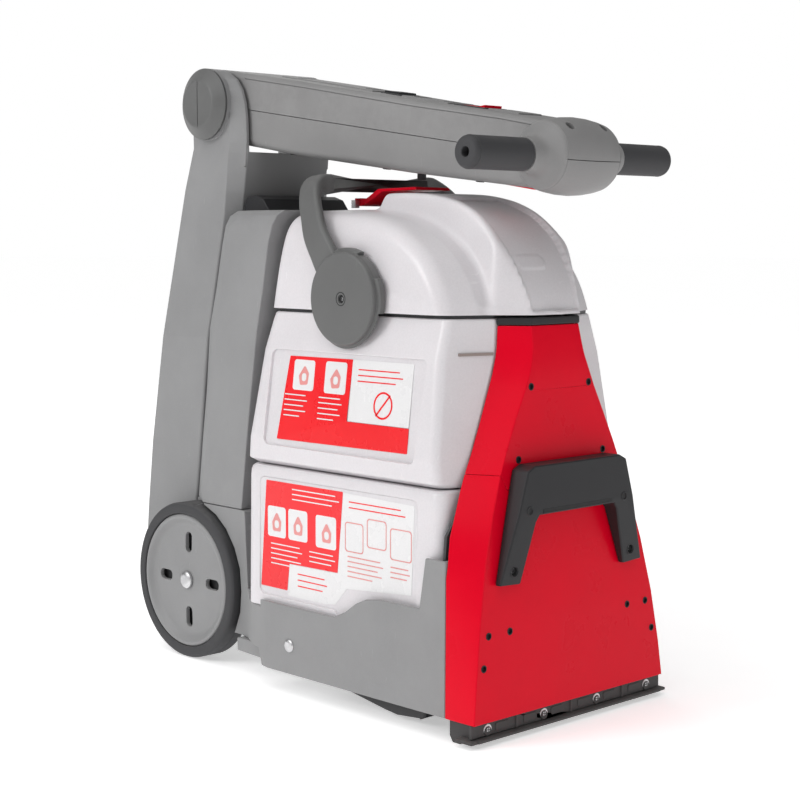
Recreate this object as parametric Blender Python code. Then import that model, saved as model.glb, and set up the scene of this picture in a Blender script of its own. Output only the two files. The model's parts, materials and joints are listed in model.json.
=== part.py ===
"""Upright two-tank carpet extractor with its handle folded forward over the tanks.

Plans and profiles are given in millimetres: x across the machine, y back from the nozzle's
screw plane, z up from the floor. Meshes are scaled to metres as they are made, and the
parent empty moves the nozzle plane forward so that the middle of the machine is the origin.
"""
import math

import bmesh
import bpy
from mathutils import Vector

MM = 0.001
GAP = 0.3
WALL = 3.0
ROUND = 24

# overall layout
FRONT_Y = -28.0
REAR_Y = 566.0
BASE_HALF = 135.0
BASE_BOTTOM = 21.0
BASE_FRONT_Y = 32.3
DECK_TOP = 82.0
SEAM_Z = 171.0
PILLAR_TOP = 165.0

# wheels
WHEEL_R = 84.5
WHEEL_Y = 448.0
WHEEL_OUT = 117.0
WHEEL_IN = 88.0
RIM_R = 72.0
AXLE_R = 6.0
ARCH_R = 88.5
ARCH_IN = 84.3

# folding handle
PIVOT_Y = 460.0
PIVOT_Z = 597.0
PIVOT_PIN_R = 8.0
GRIP_Y = 8.0
GRIP_Z = 529.0
GRIP_END = 137.4
GRIP_R = 15.0
COLLAR_X = 62.0
EAR_IN = 55.0
EAR_OUT = 73.0
EAR_R = 38.0
LOWER_HALF = 84.0
HANDLE_HALF = 52.0

# tanks
CLEAN_TOP = 225.4
DIRTY_BOTTOM = 226.4
DIRTY_TOP = 380.2
LID_BOTTOM = 383.6
BAIL_Y = 188.0
BAIL_Z = 396.0
BAIL_R = 45.0

# brush
BRUSH_Y = 100.0
BRUSH_Z = 28.5
BRUSH_R = 27.5
BRUSH_HALF = 108.0
HOOD_R = 33.0
GUARD_PITCH = 24.0
ARM_PIN_Y = 250.0
ARM_PIN_Z = 50.0
MOTOR_Y = 182.0
MOTOR_Z = 52.0
MOTOR_PULLEY_R = 9.0
BRUSH_PULLEY_R = 14.0


def clear_scene():
    for item in list(bpy.data.objects):
        bpy.data.objects.remove(item, do_unlink=True)


def make_material(name, colour, roughness, metallic=0.0):
    material = bpy.data.materials.new(name)
    material.use_nodes = True
    shader = material.node_tree.nodes["Principled BSDF"]
    shader.inputs["Base Color"].default_value = (*colour, 1.0)
    shader.inputs["Roughness"].default_value = roughness
    shader.inputs["Metallic"].default_value = metallic
    material.diffuse_color = (*colour, 1.0)
    return material


clear_scene()
MACHINE = bpy.data.objects.new("machine", None)
bpy.context.scene.collection.objects.link(MACHINE)
MACHINE.location = (0.0, -(FRONT_Y + REAR_Y) / 2 * MM, 0.0)

GREY = ("housing_grey", (0.27, 0.27, 0.28), 0.5)
DARK = ("dark_grey", (0.16, 0.16, 0.16), 0.5)
BLACK = ("black_plastic", (0.04, 0.04, 0.045), 0.45)
RED = ("red_plastic", (0.58, 0.0, 0.013), 0.3)
MILK = ("milky_tank", (0.8, 0.78, 0.78), 0.35)
RUBBER = ("rubber", (0.05, 0.05, 0.055), 0.8)
STEEL = ("steel", (0.55, 0.55, 0.56), 0.3, 1.0)
BRISTLE = ("bristle", (0.1, 0.1, 0.12), 0.8)


def new_object(name, bm, origin, parent):
    """Scales a millimetre mesh to metres about its own origin and puts it in the scene."""
    bmesh.ops.translate(bm, verts=bm.verts, vec=-Vector(origin))
    bmesh.ops.scale(bm, verts=bm.verts, vec=(MM, MM, MM))
    bmesh.ops.recalc_face_normals(bm, faces=bm.faces)
    mesh = bpy.data.meshes.new(name)
    bm.to_mesh(mesh)
    bm.free()
    item = bpy.data.objects.new(name, mesh)
    bpy.context.scene.collection.objects.link(item)
    item.parent = parent
    item.location = Vector(origin) * MM
    return item


def add_part(name, bm, finish, origin=(0, 0, 0)):
    item = new_object(name, bm, origin, MACHINE)
    item.data.materials.append(make_material(name, *finish[1:]))
    item.data.shade_smooth()
    item.data.set_sharp_from_angle(angle=math.radians(32))
    return item


def shape(item, bm, operation="DIFFERENCE", solver="EXACT"):
    """Cuts, joins or intersects a part with a hidden guide solid."""
    guide = new_object(item.name + "_guide", bm, (0, 0, 0), MACHINE)
    guide.hide_render = True
    guide.display_type = "WIRE"
    change = item.modifiers.new(operation.lower(), "BOOLEAN")
    change.operation = operation
    change.solver = solver
    change.object = guide


def place(axis, along, a, b):
    """A point from its place along an axis and its two coordinates across it."""
    if axis == "X":
        return (along, a, b)
    if axis == "Y":
        return (a, along, b)
    return (a, b, along)


def loft(rings):
    """A closed solid through rings that all have the same number of points."""
    bm = bmesh.new()
    rows = [[bm.verts.new(p) for p in ring] for ring in rings]
    count = len(rows[0])
    for low, high in zip(rows, rows[1:]):
        for i in range(count):
            j = (i + 1) % count
            bm.faces.new((low[i], low[j], high[j], high[i]))
    bm.faces.new(list(reversed(rows[0])))
    bm.faces.new(rows[-1])
    return bm


def prism(points, axis, start, stop):
    """A flat outline extruded along an axis."""
    return loft([[place(axis, along, a, b) for a, b in points] for along in (start, stop)])


def box(low, high):
    outline = [(low[0], low[1]), (high[0], low[1]), (high[0], high[1]), (low[0], high[1])]
    return prism(outline, "Z", low[2], high[2])


def circle(centre, radius, count=ROUND, start=0.0):
    steps = [start + 2 * math.pi * i / count for i in range(count)]
    return [(centre[0] + radius * math.cos(t), centre[1] + radius * math.sin(t)) for t in steps]


def disc(axis, centre, radius, start, stop, count=ROUND):
    return prism(circle(centre, radius, count), axis, start, stop)


def turned(axis, centre, profile, count=ROUND):
    """A solid of revolution from (along, radius) points, capped at both ends."""
    return loft([[place(axis, along, a, b) for a, b in circle(centre, radius, count)]
                 for along, radius in profile])


def turned_ring(axis, centre, profile, count=ROUND):
    """A ring of revolution from a closed loop of (along, radius) points."""
    bm = bmesh.new()
    rows = [[bm.verts.new(place(axis, along, a, b)) for a, b in circle(centre, radius, count)]
            for along, radius in profile]
    for low, high in zip(rows, rows[1:] + rows[:1]):
        for i in range(count):
            j = (i + 1) % count
            bm.faces.new((low[i], low[j], high[j], high[i]))
    return bm


def rounded(points, radius, steps=3):
    """An outline with each corner turned into an arc. radius is one value or one per corner."""
    radii = radius if isinstance(radius, (list, tuple)) else [radius] * len(points)
    result = []
    for i, r in enumerate(radii):
        corner = Vector(points[i])
        before = (Vector(points[i - 1]) - corner).normalized()
        after = (Vector(points[(i + 1) % len(points)]) - corner).normalized()
        half = before.angle(after) / 2
        reach = r / math.tan(half)
        centre = corner + (before + after).normalized() * (r / math.sin(half))
        first = corner + before * reach - centre
        last = corner + after * reach - centre
        turn = first.angle_signed(last)
        for k in range(steps + 1):
            a = -turn * k / steps
            spin = (first.x * math.cos(a) - first.y * math.sin(a),
                    first.x * math.sin(a) + first.y * math.cos(a))
            result.append((centre.x + spin[0], centre.y + spin[1]))
    return result


def mirrored(half):
    """A whole plan outline from its right half, listed front to back."""
    return list(half) + [(-x, y) for x, y in reversed(half)]


def between(table, value):
    """Straight-line reading of a short table of (value, result) design points."""
    if value <= table[0][0]:
        return table[0][1]
    for (v0, r0), (v1, r1) in zip(table, table[1:]):
        if value <= v1:
            return r0 + (r1 - r0) * (value - v0) / (v1 - v0)
    return table[-1][1]


# ---------------------------------------------------------------- base and rear housing

BASE_SIDE = [(BASE_FRONT_Y, BASE_BOTTOM), (298, BASE_BOTTOM), (304, 38), (466, 38), (466, 170.6),
             (350, 170.6), (343, 90), (184, 90), (168, 97), (152, 108), (138, 114), (118, 117),
             (66, 117), (58, PILLAR_TOP), (BASE_FRONT_Y, PILLAR_TOP)]


def base_plan(inset):
    """Plan of the base: wide beside the tanks, narrower past the wheel arches."""
    half = [(BASE_HALF - inset, BASE_FRONT_Y - 1 + inset), (BASE_HALF - inset, 285),
            (128 - inset, 315), (113 - inset, 343), (108 - inset, 362), (108 - inset, 424),
            (ARCH_IN - 0.8 - inset, 434), (ARCH_IN - 0.8 - inset, 467 - inset)]
    return mirrored(half)


def base_housing():
    item = add_part("base_housing", prism(base_plan(0), "Z", 15, 180), GREY)
    shape(item, prism(BASE_SIDE, "X", -150, 150), "INTERSECT")
    shape(item, box((-131.6, 36.3, DECK_TOP), (131.6, 335, 200)))
    under = [(x * 0.972, min(max(y, 37), 333)) for x, y in base_plan(0)[:3]]
    shape(item, prism(mirrored(under), "Z", 0, DECK_TOP - WALL))
    shape(item, prism([(330, 0), (330, 79), (354, 79), (354, 167), (462.5, 167), (462.5, 0)],
                      "X", -80.5, 80.5))
    shape(item, box((-50, 365, 160), (50, 440, SEAM_Z)))
    for side in (-1, 1):
        outer, inner = sorted((side * ARCH_IN, side * 140))
        shape(item, disc("X", (WHEEL_Y, WHEEL_R), ARCH_R, outer, inner))
    shape(item, disc("X", (WHEEL_Y, WHEEL_R), AXLE_R + GAP, -100, 100, 24))
    shape(item, disc("X", (ARM_PIN_Y, ARM_PIN_Z), 4 + GAP, -150, 150, 16))
    shape(item, disc("Z", (0, 300), 9 + GAP, 60, 100, 16))


def bottom_pan():
    outline = [(212, 21.4), (212, 24), (296, 24), (302, 37.4), (455, 37.4), (455, 33),
               (308, 33), (302, 21.4)]
    item = add_part("bottom_pan", prism(outline, "X", -80, 80), GREY)
    front = [(212, 21.4), (212, 24), (297, 24), (297, 21.4)]
    shape(item, prism(front, "X", -112, 112), "UNION")
    rear = [(296, 21.4), (296, 24), (302, 37.4), (356, 37.4), (356, 24), (312, 22), (302, 21.4)]
    shape(item, prism(rear, "X", -117, 117), "UNION")
    shape(item, box((-70, 300, 30), (70, 350, 36)))


def brush_arm():
    """Floating carrier of the brush: side arms, a hood over the roll and a slotted guard."""
    hood = []
    for radius, first, last in ((HOOD_R, 170, 10), (HOOD_R - WALL, 10, 170)):
        for i in range(9):
            t = math.radians(first + (last - first) * i / 8)
            hood.append((BRUSH_Y + radius * math.cos(t), BRUSH_Z + radius * math.sin(t)))
    item = add_part("brush_arm", prism(hood, "X", -118, 118), DARK,
                    (0, ARM_PIN_Y, ARM_PIN_Z))
    for side in (-1, 1):
        low, high = sorted((side * 114, side * 118))
        arm = [(70, 30), (78, 8), (112, 5), (130, 7), (198, 17.5), (258, 42), (258, 58),
               (242, 60), (150, 58), (120, 62), (84, 60), (70, 45)]
        shape(item, prism(arm, "X", low, high), "UNION")
    guard = [(130, 7.2), (196, 17.5), (196, 20.5), (130, 11.2)]
    shape(item, prism(guard, "X", -118, 118), "UNION")
    for i in range(9):
        x = GUARD_PITCH * (i - 4)
        shape(item, box((x - 7, 138, 0), (x + 7, 186, 30)))
    shape(item, disc("X", (ARM_PIN_Y, ARM_PIN_Z), 4 + GAP, -140, 140, 16))
    shape(item, disc("X", (BRUSH_Y, BRUSH_Z), 5 + GAP, -140, 140, 16))
    shape(item, box((BRUSH_HALF - 18, 118, 28), (BRUSH_HALF - 2, 152, 70)))
    cradle = [(MOTOR_Y - 20, 24.5), (MOTOR_Y + 20, 24.5), (MOTOR_Y + 20, 30), (MOTOR_Y - 20, 30)]
    shape(item, prism(cradle, "X", -114.5, -20), "UNION")


def arm_pins():
    for name, side in (("arm_pin_left", -1), ("arm_pin_right", 1)):
        profile = [(side * 112, 4), (side * (BASE_HALF + GAP), 4),
                   (side * (BASE_HALF + GAP), 6.5), (side * (BASE_HALF + 1.6), 5.5)]
        add_part(name, turned("X", (ARM_PIN_Y, ARM_PIN_Z), profile, 16), STEEL)


def brush_set():
    centre = (BRUSH_Y, BRUSH_Z)
    origin = (0, BRUSH_Y, BRUSH_Z)
    roll = [(-BRUSH_HALF, 13), (-BRUSH_HALF, 5 + GAP), (BRUSH_HALF - 18, 5 + GAP),
            (BRUSH_HALF - 18, 13), (BRUSH_HALF - 20, BRUSH_R), (2 - BRUSH_HALF, BRUSH_R)]
    add_part("brush_roll", turned_ring("X", centre, roll, 24), BRISTLE, origin)
    add_part("brush_shaft", disc("X", centre, 5, -117, 117, 16), STEEL, origin)
    pulley = [(BRUSH_HALF - 16, 5 + GAP), (BRUSH_HALF - 4, 5 + GAP),
              (BRUSH_HALF - 4, BRUSH_PULLEY_R), (BRUSH_HALF - 16, BRUSH_PULLEY_R)]
    add_part("brush_pulley", turned_ring("X", centre, pulley, 24), DARK, origin)


def brush_motor():
    centre = (MOTOR_Y, MOTOR_Z)
    profile = [(-30, 12), (-28, 21), (50, 21), (54, 14), (60, 14), (60, 7), (78, 7)]
    add_part("brush_motor", turned("X", centre, profile, 24), STEEL)
    motor_pulley = [(80, 3), (80.2, MOTOR_PULLEY_R), (BRUSH_HALF - 4, MOTOR_PULLEY_R),
                    (BRUSH_HALF - 4, 3)]
    add_part("motor_pulley", turned("X", centre, motor_pulley, 20), STEEL,
             (0, MOTOR_Y, MOTOR_Z))


def belt_outline(extra):
    """An open-belt loop round both pulleys, standing off them by extra."""
    start = Vector((BRUSH_Y, BRUSH_Z))
    end = Vector((MOTOR_Y, MOTOR_Z))
    line = end - start
    facing = math.atan2(line.y, line.x)
    lean = math.acos((BRUSH_PULLEY_R - MOTOR_PULLEY_R) / line.length)
    points = []
    for centre, radius, first, last in (
            (start, BRUSH_PULLEY_R, facing + lean, facing + 2 * math.pi - lean),
            (end, MOTOR_PULLEY_R, facing - lean, facing + lean)):
        for i in range(13):
            t = first + (last - first) * i / 12
            points.append((centre.x + (radius + extra) * math.cos(t),
                           centre.y + (radius + extra) * math.sin(t)))
    return points


def drive_belt():
    low, high = BRUSH_HALF - 15, BRUSH_HALF - 5
    rings = [[(x, a, b) for a, b in belt_outline(extra)]
             for x, extra in ((low, 2.6), (high, 2.6), (high, GAP + 0.2), (low, GAP + 0.2))]
    bm = bmesh.new()
    rows = [[bm.verts.new(p) for p in ring] for ring in rings]
    for a, b in zip(rows, rows[1:] + rows[:1]):
        for i in range(len(a)):
            j = (i + 1) % len(a)
            bm.faces.new((a[i], a[j], b[j], b[i]))
    add_part("drive_belt", bm, RUBBER)


def pump():
    item = add_part("water_pump", disc("Y", (-60, 58), 15, 255, 311, 16), DARK)
    shape(item, box((-76, 263, 39), (-44, 293, 60)), "UNION")
    shape(item, disc("Z", (-60, 303), 5, 50, 77, 12), "UNION")


def spray_bar():
    item = add_part("spray_bar", box((-110, 50, 60), (110, 60, 68)), DARK)
    for x in (-75, 0, 75):
        shape(item, turned("Z", (x, 55), [(48, 2), (52, 5), (61, 5)], 12), "UNION")


# ---------------------------------------------------------------- front covers and nozzle

CREASE = [(21, 135.2), (56, 131), (107, 123), (161, 111), (202, 98.5), (239, 85.3), (258, 77.2),
          (288, 63), (315, 49), (329, 42.6), (345, 36.8), (356, 34.3), (374, 33)]
REAR_EDGE = [(21, 135.4), (150, 135), (186, 128.5), (205, 118.5), (225, 108), (258, 91), (288, 79),
             (315, 69), (335, 61.5), (352, 58), (374, 57)]
FACE_Y = [(21, -5.2), (56, -3.5), (107, 0), (161, 5), (202, 9), (239, 12), (288, 14.5), (329, 15.5),
          (356, 18.5), (374, 22)]
EDGE_Y = [(21, 31.5), (165, 31.5), (190, 34), (225, 41), (245, 43.5), (374, 43.5)]
COVER_SCREWS = [(112.2, 98.8), (84.2, 99.1), (120.3, 70.7), (59.9, 252.5), (40.7, 318.3)]
SCREW_HOLE_R = 3.0
SEAM_STEP = 240.0
COVER_LEVELS = [21.2, 56, 107, 150, 161, 186, 205, 225, 239, 258, 288, 315, 329, 345, 356, 373.8]


def cover_ring(z):
    """A U-shaped section of the red cover at one height."""
    face, rear = between(CREASE, z), between(REAR_EDGE, z)
    front, back = between(FACE_Y, z), between(EDGE_Y, z)
    half = [(rear, back), (face, front)]
    inner = [(face - WALL, front + WALL), (rear - WALL - 0.4, back)]
    outline = half + [(-x, y) for x, y in reversed(half)]
    outline += [(-x, y) for x, y in reversed(inner)] + inner
    return [(x, y, z) for x, y in outline]


def cover_inside(z, y):
    """Half the room inside the cover at one height, at a distance y from the front."""
    start = between(FACE_Y, z) + WALL
    reach = (y - start) / (between(EDGE_Y, z) - start)
    return between(CREASE, z) - WALL + (between(REAR_EDGE, z) - 0.4 - between(CREASE, z)) * reach


def seam_cutter(offset):
    """Everything above the joint between the covers, which steps down behind the handle."""
    high, low = SEAM_STEP + offset, SEAM_STEP - 14 + offset
    outline = [(-200, high), (offset - 84, high), (offset - 76, low),
               (76 - offset, low), (84 - offset, high), (200, high),
               (200, 500), (-200, 500)]
    return prism(outline, "Y", -60, 100)


def red_covers():
    upper = add_part("red_upper_cover", loft([cover_ring(z) for z in COVER_LEVELS]), RED)
    shape(upper, seam_cutter(0.15), "INTERSECT")
    lower = add_part("red_lower_cover", loft([cover_ring(z) for z in COVER_LEVELS]), RED)
    shape(lower, seam_cutter(-0.15))
    for item in (upper, lower):
        for x, z in COVER_SCREWS:
            if (z < SEAM_STEP) == (item is lower):
                for side in (-1, 1):
                    shape(item, disc("Y", (side * x, z), SCREW_HOLE_R, -30, 60, 10))


def carry_handle():
    half = [(60.5, 249), (70, 244.5), (101, 143), (73.5, 141.5), (57.5, 197), (53, 203)]
    outline = half + [(-x, z) for x, z in reversed(half)]
    item = add_part("carry_handle", prism(outline, "Y", -10, 25), BLACK)
    front = [(-10.5, 260), (-8.8, 249), (-8.8, 208), (-3.6, 141), (-3.6, 130), (60, 130), (60, 260)]
    shape(item, prism(front, "X", -120, 120), "INTERSECT")
    back = [(between(FACE_Y, z) - 0.35, z) for z in (120, 161, 202, 239, 260)]
    shape(item, prism(back + [(80, 260), (80, 120)], "X", -130, 130))
    shape(item, prism([(0.5, 190), (0.5, 237), (30, 237), (30, 190)], "X", -52, 52))
    for side in (-1, 1):
        shape(item, disc("Y", (side * 67.2, 208.4), 3, -20, 0, 10))
        shape(item, disc("Y", (side * 83, 154.5), 4, -20, -1, 12))


def nozzle():
    plate = [(-135, 8.4), (135, 8.4), (135, 20.9), (-135, 20.9)]
    item = add_part("nozzle_plate", prism(plate, "Y", -1.5, 1.5), BLACK)
    for x in (-114, -38, 38, 114):
        shape(item, disc("Y", (x, 13), 4.4, -2.6, 0, 12), "UNION")
    for x in (-76, 0, 76):
        shape(item, box((x - 1.2, -3, 8.4), (x + 1.2, 0, 20.9)), "UNION")
    body = [(1.8, 8.2), (-7, 7.4), (-7, 4.8), (2, 4.8), (8, 11), (8, 24), (20.5, 24),
            (20.5, 9), (16, 3), (16, 0), (26, 0), (30, 6), (30, 26), (3.9, 26), (3.9, 20.9),
            (1.8, 20.9)]
    lip = add_part("suction_nozzle", prism(body, "X", -131, 131), BLACK)
    for side in (-1, 1):
        low, high = sorted((side * 126, side * 131))
        shape(lip, prism([(2, 5.2), (4.2, 25), (28, 25), (28, 5), (18, 1.2)], "X", low, high), "UNION")
        low, high = sorted((side * 130.5, side * 140))
        end = [(-6, 4.8), (15, 4.8), (15, 8), (-6, 7.6)]
        shape(lip, prism(end, "X", low, high), "UNION")
    shape(lip, box((-100, 9, 20), (100, 19.5, 30)))


def suction_duct():
    levels = [(26.4, 118, 6, 27), (60, 112, 8, 27), (150, 84, 12, 28), (239, 62, 17, 30),
              (300, 40, 21, 34), (340, 27, 24, 36), (381, 26, 26, 36)]

    def ring(z, half, front, back, inset):
        half, front, back = half - inset, front + inset, back - inset
        return [(-half, front, z), (half, front, z), (half, back, z), (-half, back, z)]

    item = add_part("suction_duct", loft([ring(*level, 0) for level in levels]), DARK)
    inner = [ring(*level, 2) for level in levels]
    inner[0] = [(x, y, z - 3) for x, y, z in inner[0]]
    inner[-1] = [(x, y, z + 3) for x, y, z in inner[-1]]
    shape(item, loft(inner))


def front_frame():
    """Inner wall that carries the covers and the duct, bolted behind the base's front wall."""
    levels = (60, 150, 186, 205, 225, 258, 288, 315, 335, 352, 373)
    half = [(min(131, cover_inside(z, 37.2) - 1), z) for z in levels]
    outline = half + [(-x, z) for x, z in reversed(half)]
    item = add_part("front_frame", prism(outline, "Y", 37.2, 40.2), DARK)
    shape(item, box((-131, 30, 50), (131, 60, 84)))


def rim_band():
    plan = [(57.4, 44.6), (34, 21.6), (-34, 21.6), (-57.4, 44.6)]
    item = add_part("rim_band", prism(plan, "Z", 374.2, 381.2), BLACK)
    shape(item, box((-28, 25, 370), (28, 37, 390)))


# ---------------------------------------------------------------- rear column and motor

COLUMN_LEVELS = [(171.2, 359, 425, 464), (239, 350, 416, 455), (287, 343, 407, 448),
                 (358, 332, 396, 441), (400, 322, 388, 429), (447, 313, 378, 418),
                 (467, 306, 372, 412), (477, 301, 364, 404), (482, 297, 352, 392)]


def column_ring(level, inset):
    z, front, rear, centre = level
    drop = 9 if z > 480 else 3 if z > 475 else 0
    half = 108 - inset - drop
    outline = mirrored([(half, front + inset), (half, rear), (LOWER_HALF - inset, centre - inset)])
    return [(x, y, z) for x, y in outline]


def column_housing():
    item = add_part("column_housing",
                    loft([column_ring(level, 0) for level in COLUMN_LEVELS]), GREY)
    inner = [column_ring(level, WALL) for level in COLUMN_LEVELS[:-2]]
    inner[0] = [(x, y, 160) for x, y, z in inner[0]]
    shape(item, loft(inner))
    rib = [(370, 478), (410, 470), (414, 488), (408, 496), (396, 498), (384, 494)]
    shape(item, prism(rib, "X", -54, 54), "UNION")


def vacuum_motor():
    profile = [(210, 30), (212, 41), (262, 41), (264, 37), (280, 37), (282, 41), (306, 41),
               (308, 20), (318, 20)]
    item = add_part("vacuum_motor", turned("Z", (0, 401), profile, 24), STEEL)
    shape(item, disc("Z", (0, 402), 14, 303, 330, 16))


# ---------------------------------------------------------------- tanks

TANK_LEVELS = [(DIRTY_BOTTOM, 101, 47, 120, 55, 119, 336), (231, 97, 46, 125, 54, 122, 339),
               (252, 92, 45.5, 127.5, 55, 123, 336), (284, 80, 45.5, 122.5, 57.5, 120, 331),
               (342, 60, 45.5, 113, 62, 113, 324), (372, 58.5, 45.5, 103, 64, 106, 319),
               (DIRTY_TOP, 58.5, 46, 101, 65, 104, 317)]


def tank_ring(level, inset):
    """Plan of the upper tank: a narrow nose, slanting shoulders and rounded rear corners."""
    z, nose, front, corner, corner_y, side, rear = level
    half = rounded([(0, front + inset), (nose - inset / 2, front + inset),
                    (corner - inset, corner_y + inset / 2), (side - inset, rear - inset),
                    (0, rear - inset)], [0.01, 1.0, 9, 20, 0.01], 3)
    outline = mirrored([half[4]] + half[8:16])
    return [(x, y, z) for x, y in outline]


def dirty_tank():
    item = add_part("dirty_tank", loft([tank_ring(level, 0) for level in TANK_LEVELS]), MILK)
    inner = [tank_ring(level, WALL) for level in TANK_LEVELS]
    inner[0] = [(x, y, z + WALL) for x, y, z in inner[0]]
    inner[-1] = [(x, y, z + WALL) for x, y, z in inner[-1]]
    shape(item, loft(inner))


def clean_tank():
    corners = [(0, 45.2), (127.5, 45.2), (126.5, 330), (0, 330)]
    half = rounded(corners, [0.01, 12, 18, 0.01], 3)[4:12]
    low = [(x * 1.018, y) for x, y in half]
    rings = [[(x, y, z) for x, y in mirrored(plan)]
             for z, plan in ((DECK_TOP + GAP, low), (CLEAN_TOP, half))]
    item = add_part("clean_tank", loft(rings), MILK)
    inner = [[(x * 0.975, 48.5 + (y - 45) * 0.976, z) for x, y in mirrored(half)]
             for z in (DECK_TOP + GAP + WALL, CLEAN_TOP - WALL)]
    shape(item, loft(inner))
    shape(item, disc("Z", (70, 90), 20, CLEAN_TOP - 10, CLEAN_TOP + 10, 24))
    shape(item, disc("Z", (0, 300), 9 + GAP, 70, 95, 16))


def clean_tank_fittings():
    profile = [(CLEAN_TOP - 12, 17), (CLEAN_TOP - 1.2, 17), (CLEAN_TOP - 1.2, 19.5),
               (CLEAN_TOP + 0.4, 19.5)]
    add_part("clean_tank_cap", turned("Z", (70, 90), profile, 24), BLACK, (70, 90, CLEAN_TOP))
    valve = [(70, 5), (79, 5), (79, 8.4), (94, 8.4), (94, 5), (98, 5)]
    item = add_part("clean_tank_valve", turned("Z", (0, 300), valve, 16), DARK)
    shape(item, disc("Z", (0, 300), 2.5, 60, 110, 12))


SHOULDER = [(52, LID_BOTTOM), (57, 400), (68, 420), (86, 440), (112, 458), (145, 472), (180, 481),
            (212, 484), (278, 484), (291, 480), (299, 468), (306, 430), (315, LID_BOTTOM)]
SHOULDER_X = [(0, 1.0, 0), (62, 1.0, 0), (78, 0.98, 4), (90, 0.93, 9), (98, 0.8, 13),
              (103, 0.5, 16)]
LID_HALF = 104.0
LID_MIDDLE_Y = 184.0
LID_DEPTH = 265.0
LID_HEIGHT = 100.0
REAR_CORNER = (95, 280, 6)


def shoulder_ring(x, rise, shift, inset):
    """The lid's side outline at one distance from its middle, drawn in by the inset."""
    corner_x, corner_y, corner = REAR_CORNER
    ring = []
    for y, z in SHOULDER:
        swept = y + shift * (1 - (y - SHOULDER[0][0]) / LID_DEPTH)
        if y > corner_y and abs(x) > corner_x:
            swept -= corner
        swept = LID_MIDDLE_Y + (swept - LID_MIDDLE_Y) * (1 - 2 * inset / LID_DEPTH)
        height = LID_BOTTOM + (z - LID_BOTTOM) * rise * (1 - inset / LID_HEIGHT)
        ring.append((x, swept, height if z > LID_BOTTOM else LID_BOTTOM - inset))
    return ring


def shoulders(inset):
    limit = LID_HALF - inset
    last = len(SHOULDER_X) - 1
    right = [(min(x, limit - 0.5 * (last - i)), rise, shift)
             for i, (x, rise, shift) in enumerate(SHOULDER_X)]
    stations = [(-x, rise, shift) for x, rise, shift in reversed(right[1:])] + right
    return loft([shoulder_ring(x, rise, shift, inset) for x, rise, shift in stations])


CROWN = [(19.8, 384.6, 34), (21.5, 398, 35), (27, 412, 36.5), (36, 428, 38), (48, 446, 40),
         (64, 463, 42), (84, 478, 44), (110, 489, 46), (145, 496, 48), (185, 498, 48),
         (206, 497, 48), (214, 486, 48)]


def crown(inset):
    """The raised middle band of the lid, from its nose over the top."""
    rings = []
    for y, top, half in CROWN:
        wide = half - inset
        high = top - inset if inset else top
        low = LID_BOTTOM - (inset if inset else 0)
        y_in = y + inset if y < 150 else y - inset
        edge = min(3.0, (high - low) / 3)
        rings.append([(-wide, y_in, low), (wide, y_in, low), (wide, y_in, high - edge),
                      (wide - 4, y_in, high), (4 - wide, y_in, high), (-wide, y_in, high - edge)])
    return loft(rings)


def tank_lid():
    item = add_part("tank_lid", shoulders(0), MILK)
    flare = [(57.5, 44.5), (100, 66), (100, 110), (-100, 110), (-100, 66), (-57.5, 44.5),
             (-34, 20.5), (34, 20.5)]
    skirt = prism(flare, "Z", LID_BOTTOM, LID_BOTTOM + 6)
    shape(item, crown(0), "UNION")
    shape(item, skirt, "UNION")
    shape(item, shoulders(WALL))
    shape(item, crown(WALL))
    shape(item, box((-45, 30, 370), (45, 70, LID_BOTTOM + 3)))


def lid_gasket():
    outer = [(x, y) for x, y, z in tank_ring(TANK_LEVELS[-1], 0.6)]
    inner = [(x, y) for x, y, z in tank_ring(TANK_LEVELS[-1], 5)]
    bm = bmesh.new()
    rows = []
    for outline, z in ((outer, 380.6), (outer, 383.2), (inner, 383.2), (inner, 380.6)):
        rows.append([bm.verts.new((x, y, z)) for x, y in outline])
    for a, b in zip(rows, rows[1:] + rows[:1]):
        for i in range(len(a)):
            j = (i + 1) % len(a)
            bm.faces.new((a[i], a[j], b[j], b[i]))
    add_part("lid_gasket", bm, BLACK)


def float_valve():
    cage = add_part("float_cage", disc("Z", (30, 200), 24, 396, 446, 20), DARK)
    shape(cage, disc("Z", (30, 200), 21, 380, 443, 20))
    for wide, deep in ((40, 7), (7, 40)):
        shape(cage, box((30 - wide, 200 - deep, 402), (30 + wide, 200 + deep, 436)))
    profile = [(398, 6), (402, 14), (410, 18), (418, 18), (426, 12), (430, 4)]
    add_part("float_ball", turned("Z", (30, 200), profile, 20), RED, (30, 200, 398))


INLET = [(384.2, 26, 36), (398, 28, 41), (412, 35, 51), (424, 46, 66)]


def inlet_pipe():
    """Brings the dirty water from the duct's collar up and over into the tank."""
    outer = [[(-24, y0, z), (24, y0, z), (24, y1, z), (-24, y1, z)] for z, y0, y1 in INLET]
    pipe = add_part("tank_inlet", loft(outer), MILK)
    inner = [[(-22, y0 + 2, z), (22, y0 + 2, z), (22, y1 - 2, z), (-22, y1 - 2, z)]
             for z, y0, y1 in INLET]
    inner[0] = [(x, y, z - 3) for x, y, z in inner[0]]
    inner[-1] = [(x, y, z + 3) for x, y, z in inner[-1]]
    shape(pipe, loft(inner))


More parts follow.
